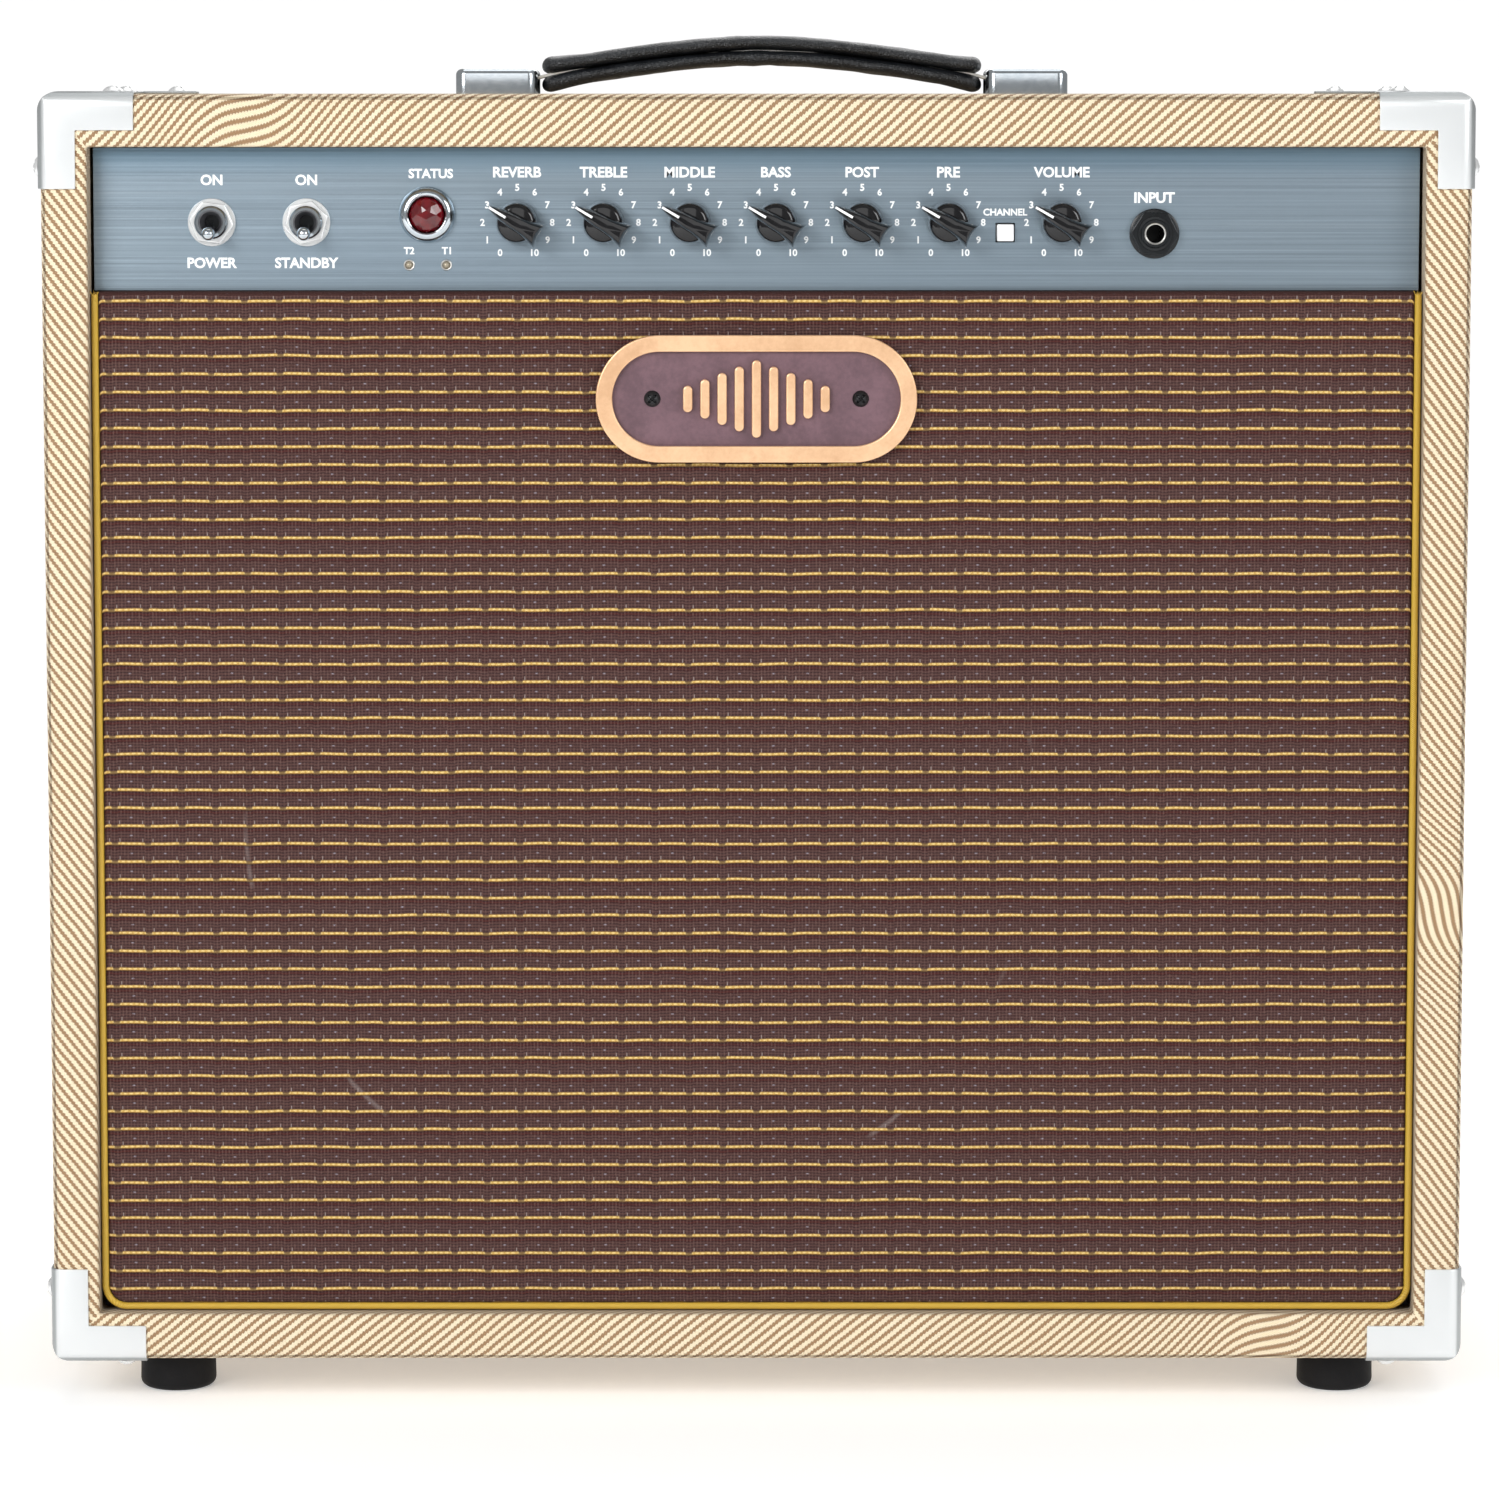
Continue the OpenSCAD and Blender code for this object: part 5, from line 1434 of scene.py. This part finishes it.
class AMP_OT_electronics(bpy.types.Operator):
    """Chassis, reverb tank, tube sockets, transformers, tubes and loudspeaker lead"""
    bl_idname = "amp.electronics"
    bl_label = "Electronics"

    def execute(self, context):
        softened("chassis", "black_chassis", 0.4, 2)
        softened("reverb_tank", "zinc_steel", 0.9, 3)
        softened("tube_sockets", "ceramic", 0.8, 3)
        for node in ("power_transformer", "output_transformer"):
            self.transformer(node)
        for node in ("power_tubes", "preamp_tubes"):
            self.tubes(node)
        self.lead()
        return {"FINISHED"}

    def transformer(self, node):
        """Stacked core, winding and two pressed bells, hung from a flange."""
        low, high = box_mm(node)
        parts = [(bevelled(from_cad(node), 1.4, 3), "transformer")]
        centre = (low + high) / 2
        for sx in (-1, 1):
            for sz in (-1, 1):
                at = Vector((centre.x + sx * ((high.x - low.x) / 2 - 13), centre.y,
                             centre.z - 1 + sz * ((high.z - low.z) / 2 - 6)))
                head = [(0.0, 0.0), (3.6, 0.0), (3.6, 1.6), (2.9, 2.3), (0.0, 2.5)]
                reach = (high.y - low.y) * 0.225
                parts.append((turned(head, at + BACK * reach, BACK, 6), "zinc_steel"))
        piece(node + "_wound", parts, replaces=(node,))

    def tubes(self, node):
        """Glass shells with their plates, spacers, pins and silvered tops."""
        parts = []
        shells = [pair for pair in solids_of(node) if pair[1].x - pair[0].x > 20]
        for low, high in shells:
            top, length = high.z, high.z - low.z
            base = Vector(((low.x + high.x) / 2, (low.y + high.y) / 2, top))
            down = -UP
            outer = [(0.0, 0.0), (10.2, 0.0), (10.9, 0.8), (11.0, 2.0), (11.0, length - 13)]
            outer += [(p, length - 13 + q * 0.72) for p, q in arc((0, 0), 11.0, 10, 76, 7)]
            outer += [(1.9, length - 4.0), (1.3, length - 1.0), (0.0, length)]
            inner = [(r - 0.8, h + (0.9 if h < length / 2 else -0.9)) for r, h in outer
                     if r > 1.0][::-1]
            shell = turned(outer + [(0.0, length - 6.0)] + inner + [(0.0, 0.9)], base, down, 40)
            parts.append((shell, "tube_glass"))
            silver = [(r - 1.0, h - 1.1) for r, h in outer if r > 1.0 and h > length - 14.5]
            parts.append((turned(silver, base, down, 32), "getter"))
            plate = [(0.0, 9.0), (5.6, 9.0), (6.4, 9.6), (6.4, length - 19), (5.6, length - 18.4),
                     (0.0, length - 18.4)]
            parts.append((turned(plate, base, down, 8), "anode_grey"))
            for depth in (7.6, length - 17.6):
                disc = [(0.0, depth), (9.4, depth), (9.4, depth + 0.5), (0.0, depth + 0.5)]
                parts.append((turned(disc, base, down, 24), "ceramic"))
            for k in range(9):
                a = math.radians(40 * k)
                at = base + Vector((math.cos(a), math.sin(a), 0)) * 5.6
                pin = [(0.0, 0.6), (0.55, 0.6), (0.55, 7.6), (0.0, 7.6)]
                parts.append((turned(pin, at, down, 8), "zinc_steel"))
        piece(node + "_glass", parts, replaces=(node,), smooth=45)

    def lead(self):
        """The loudspeaker's lead, from the chassis down to the basket's terminals."""
        flange = box_mm("speaker_gasket")[1].y + 0.02
        chassis = box_mm("chassis")[0].z
        hub = middle_of("speaker_magnet")
        end = Vector((hub.x + 98 * math.cos(math.radians(22.5)), flange + 36,
                      hub.z + 98 * math.sin(math.radians(22.5)))) + Vector((0, 12.3, 0))
        corners = [(128, 20, chassis - 0.2), (128, 20, 396), (126, 18, 376), (120, 10, 350),
                   (112, 0, 326), (102, -8, 304), (88, -14, 284), (70, -18, 268), (56, -24, 258)]
        stops = [Vector(p) for p in corners] + [end]
        path = []
        for i in range(len(stops) - 1):
            a, b = stops[max(i - 1, 0)], stops[i]
            c, d = stops[i + 1], stops[min(i + 2, len(stops) - 1)]
            for k in range(12):
                t = k / 12
                path.append(0.5 * (2 * b + (c - a) * t + (2 * a - 5 * b + 4 * c - d) * t * t
                                   + (3 * b - a - 3 * c + d) * t ** 3))
        path.append(stops[-1])
        length = sum((b - a).length for a, b in zip(path, path[1:]))
        parts, strand, offset, sides = [], 1.25, 1.2, 8
        for which in (0, 1):
            rings, run = [], 0.0
            for i, point in enumerate(path):
                if i:
                    run += (point - path[i - 1]).length
                way = (path[min(i + 1, len(path) - 1)] - path[max(i - 1, 0)]).normalized()
                u = way.cross(Vector((0, 1, 0.01))).normalized()
                v = way.cross(u)
                twist = math.tau * run / 24 + math.pi * which
                middle = point + (u * math.cos(twist) + v * math.sin(twist)) * offset
                rings.append([middle + (u * math.cos(math.tau * k / sides)
                                        + v * math.sin(math.tau * k / sides)) * strand
                              for k in range(sides)])
            bm, _ = skinned(rings, cap_start=True, cap_end=True)
            flat_uv(bm, lambda co: co.z, lambda co, w=which: float(w))
            parts.append((bm, "lead_sleeve"))
        lead = piece("speaker_lead_pair", parts, replaces=("speaker_lead",),
                     smooth=60)
        path[0] * MM
        [p * MM for p in path]


class AMP_OT_loudspeaker(bpy.types.Operator):
    """Pressed basket, magnet, gasket, ribbed cone and its bolts"""
    bl_idname = "amp.loudspeaker"
    bl_label = "Loudspeaker"

    def execute(self, context):
        softened("speaker_basket", "black_chassis", 0.5, 2)
        softened("speaker_magnet", "magnet_steel", 1.4, 3)
        softened("speaker_gasket", "cork_gasket", 0.4, 2)
        softened("speaker_bolts", "zinc_steel", 0.3, 2)
        hub = middle_of("speaker_magnet")
        face = box_mm("speaker_gasket")[1].y + 0.02
        centre = Vector((hub.x, face, hub.z))
        front, back = [(128.0, 2.0), (128.0, -4.4)], []
        for k in range(1, 28):
            t = k / 28
            r = 128.0 - t * (128.0 - 27.2)
            depth = 5.0 + t * 40.2 + (0.45 * math.cos(t * 60) if t < 0.55 else 0.0)
            front.append((r, -depth))
            back.append((r - 1.0, -depth + 0.9))
        coil = [(27.2, -45.2), (25.6, -45.6), (25.6, -70.0), (24.8, -70.0), (24.8, -43.8)]
        cap = [(r, -(DUST_CAP_R + (r / DUST_CAP_R) ** 2 * 9.0))
               for r in (29.5, 24, 18, 12, 6, 0.0)]
        rim = [(126.9, -3.8), (126.9, 2.0)]
        cone = turned(front + coil + [(26.6, -43.6)] + back[::-1] + rim, centre, FRONT, 72,
                      closed=True)
        inner = [(r, h - 0.8) for r, h in cap[::-1]]
        dome = turned(cap + inner, centre, FRONT, 56)
        piece("ribbed_cone", [(cone, "paper_cone"), (dome, "paper_cone")],
              "speaker_cone", ("speaker_cone",), smooth=25)
        return {"FINISHED"}


class AMP_OT_plain_nodes(bpy.types.Operator):
    """Finishes on the boards, screws and other parts that keep their CAD shape"""
    bl_idname = "amp.plain_nodes"
    bl_label = "Boards and fittings"

    def execute(self, context):
        for node in ("wood_screws", "pot_nuts"):
            softened(node, "zinc_steel", 0.25, 2)
        softened("potentiometers", "zinc_steel", 0.3, 2)
        softened("speaker_baffle", "black_painted_wood", 0.8, 2)
        for entry in frame["record"]["subparts"]:
            mesh = frame["nodes"][entry["node"]].data
            mesh.materials.clear()
            mesh.materials.append(finish(entry["material_slot"]))
        return {"FINISHED"}


# ---------- stage ----------

class AMP_OT_stage(bpy.types.Operator):
    """Camera, soft studio lights and a plain pale floor"""
    bl_idname = "amp.stage"
    bl_label = "Stage"

    def execute(self, context):
        scene, stage = context.scene, context.scene.amp_stage
        front = box_mm("tweed_covering")[0].y * MM
        camera = bpy.data.cameras.new("camera")
        camera.lens, camera.sensor_width = stage.lens, 36.0
        camera.shift_x, camera.shift_y = -0.0043, -0.08
        camera.clip_start, camera.clip_end = 0.05, 50.0
        holder = bpy.data.objects.new("camera", camera)
        holder.location = (0, front - stage.distance, stage.height)
        holder.rotation_euler = (math.radians(90 - stage.tilt), 0, 0)
        scene.collection.objects.link(holder)
        scene.camera = holder
        bm = bmesh.new()
        bmesh.ops.create_grid(bm, x_segments=4, y_segments=4, size=2.3)
        floor_mesh = bpy.data.meshes.new("floor")
        bm.to_mesh(floor_mesh)
        bm.free()
        paint = mottled("floor_paint", tuple(stage.floor), tuple(c * 0.985 for c in stage.floor),
                        2.0, 0.75, 0.05)
        glow = paint.node_tree.nodes["Principled BSDF"].inputs
        glow["Emission Color"].default_value = (1.0, 1.0, 1.0, 1.0)
        glow["Emission Strength"].default_value = 0.3
        floor_mesh.materials.append(paint)
        floor = bpy.data.objects.new("floor", floor_mesh)
        scene.collection.objects.link(floor)
        lights = (("key_light", (-1.6, -2.4, 1.4), 1.4, 56.0),
                  ("fill_light", (2.2, -2.1, 1.4), 1.3, 34.0),
                  ("front_light", (0.0, -3.6, 1.7), 1.6, 10.0),
                  ("top_light", (0.1, 0.5, 2.6), 1.8, 14.0),
                  ("back_light", (0.6, 2.6, 1.6), 2.0, 26.0))
        for name, place, size, power in lights:
            lamp = bpy.data.lights.new(name, "AREA")
            lamp.size, lamp.energy = size, power
            lamp_holder = bpy.data.objects.new(name, lamp)
            lamp_holder.location = place
            aim = Vector((0, 0, 0.25)) - Vector(place)
            lamp_holder.rotation_euler = aim.to_track_quat("-Z", "Y").to_euler()
            scene.collection.objects.link(lamp_holder)
        world = bpy.data.worlds.new("studio")
        world.use_nodes = True
        backdrop = world.node_tree.nodes["Background"]
        backdrop.inputs["Color"].default_value = (1.0, 1.0, 1.0, 1.0)
        seen = world.node_tree.nodes.new("ShaderNodeLightPath").outputs["Is Camera Ray"]
        feed(backdrop.inputs["Strength"], Value(seen) * (1.02 - stage.ambient) + stage.ambient)
        scene.world = world
        scene.view_settings.view_transform = "Standard"
        return {"FINISHED"}


STEPS = (AMP_OT_covering, AMP_OT_back_panels, AMP_OT_corner_caps, AMP_OT_feet, AMP_OT_grille,
         AMP_OT_badge, AMP_OT_handle, AMP_OT_panel, AMP_OT_knobs, AMP_OT_toggles,
         AMP_OT_indicators, AMP_OT_button_and_jacks, AMP_OT_electronics, AMP_OT_loudspeaker,
         AMP_OT_plain_nodes, AMP_OT_stage)
SETTINGS = {"amp_cloth": ClothSettings, "amp_panel": PanelSettings, "amp_stage": StageSettings}


class AMP_PT_panel(bpy.types.Panel):
    """Lists the steps and their settings"""
    bl_label = "Guitar amplifier"
    bl_idname = "AMP_PT_panel"
    bl_space_type = "VIEW_3D"
    bl_region_type = "UI"
    bl_category = "Amplifier"

    def draw(self, context):
        for name in SETTINGS:
            box = self.layout.box()
            settings = getattr(context.scene, name)
            for field in settings.__annotations__:
                box.prop(settings, field)
        for step in STEPS:
            self.layout.operator(step.bl_idname)


def register():
    for cls in (*SETTINGS.values(), *STEPS, AMP_PT_panel):
        bpy.utils.register_class(cls)
    for name, cls in SETTINGS.items():
        setattr(bpy.types.Scene, name, bpy.props.PointerProperty(type=cls))


def unregister():
    for name in SETTINGS:
        delattr(bpy.types.Scene, name)
    for cls in reversed((*SETTINGS.values(), *STEPS, AMP_PT_panel)):
        bpy.utils.unregister_class(cls)


def main():
    register()
    for step in STEPS:
        group, name = step.bl_idname.split(".")
        getattr(getattr(bpy.ops, group), name)()


if __name__ == "__main__":
    main()
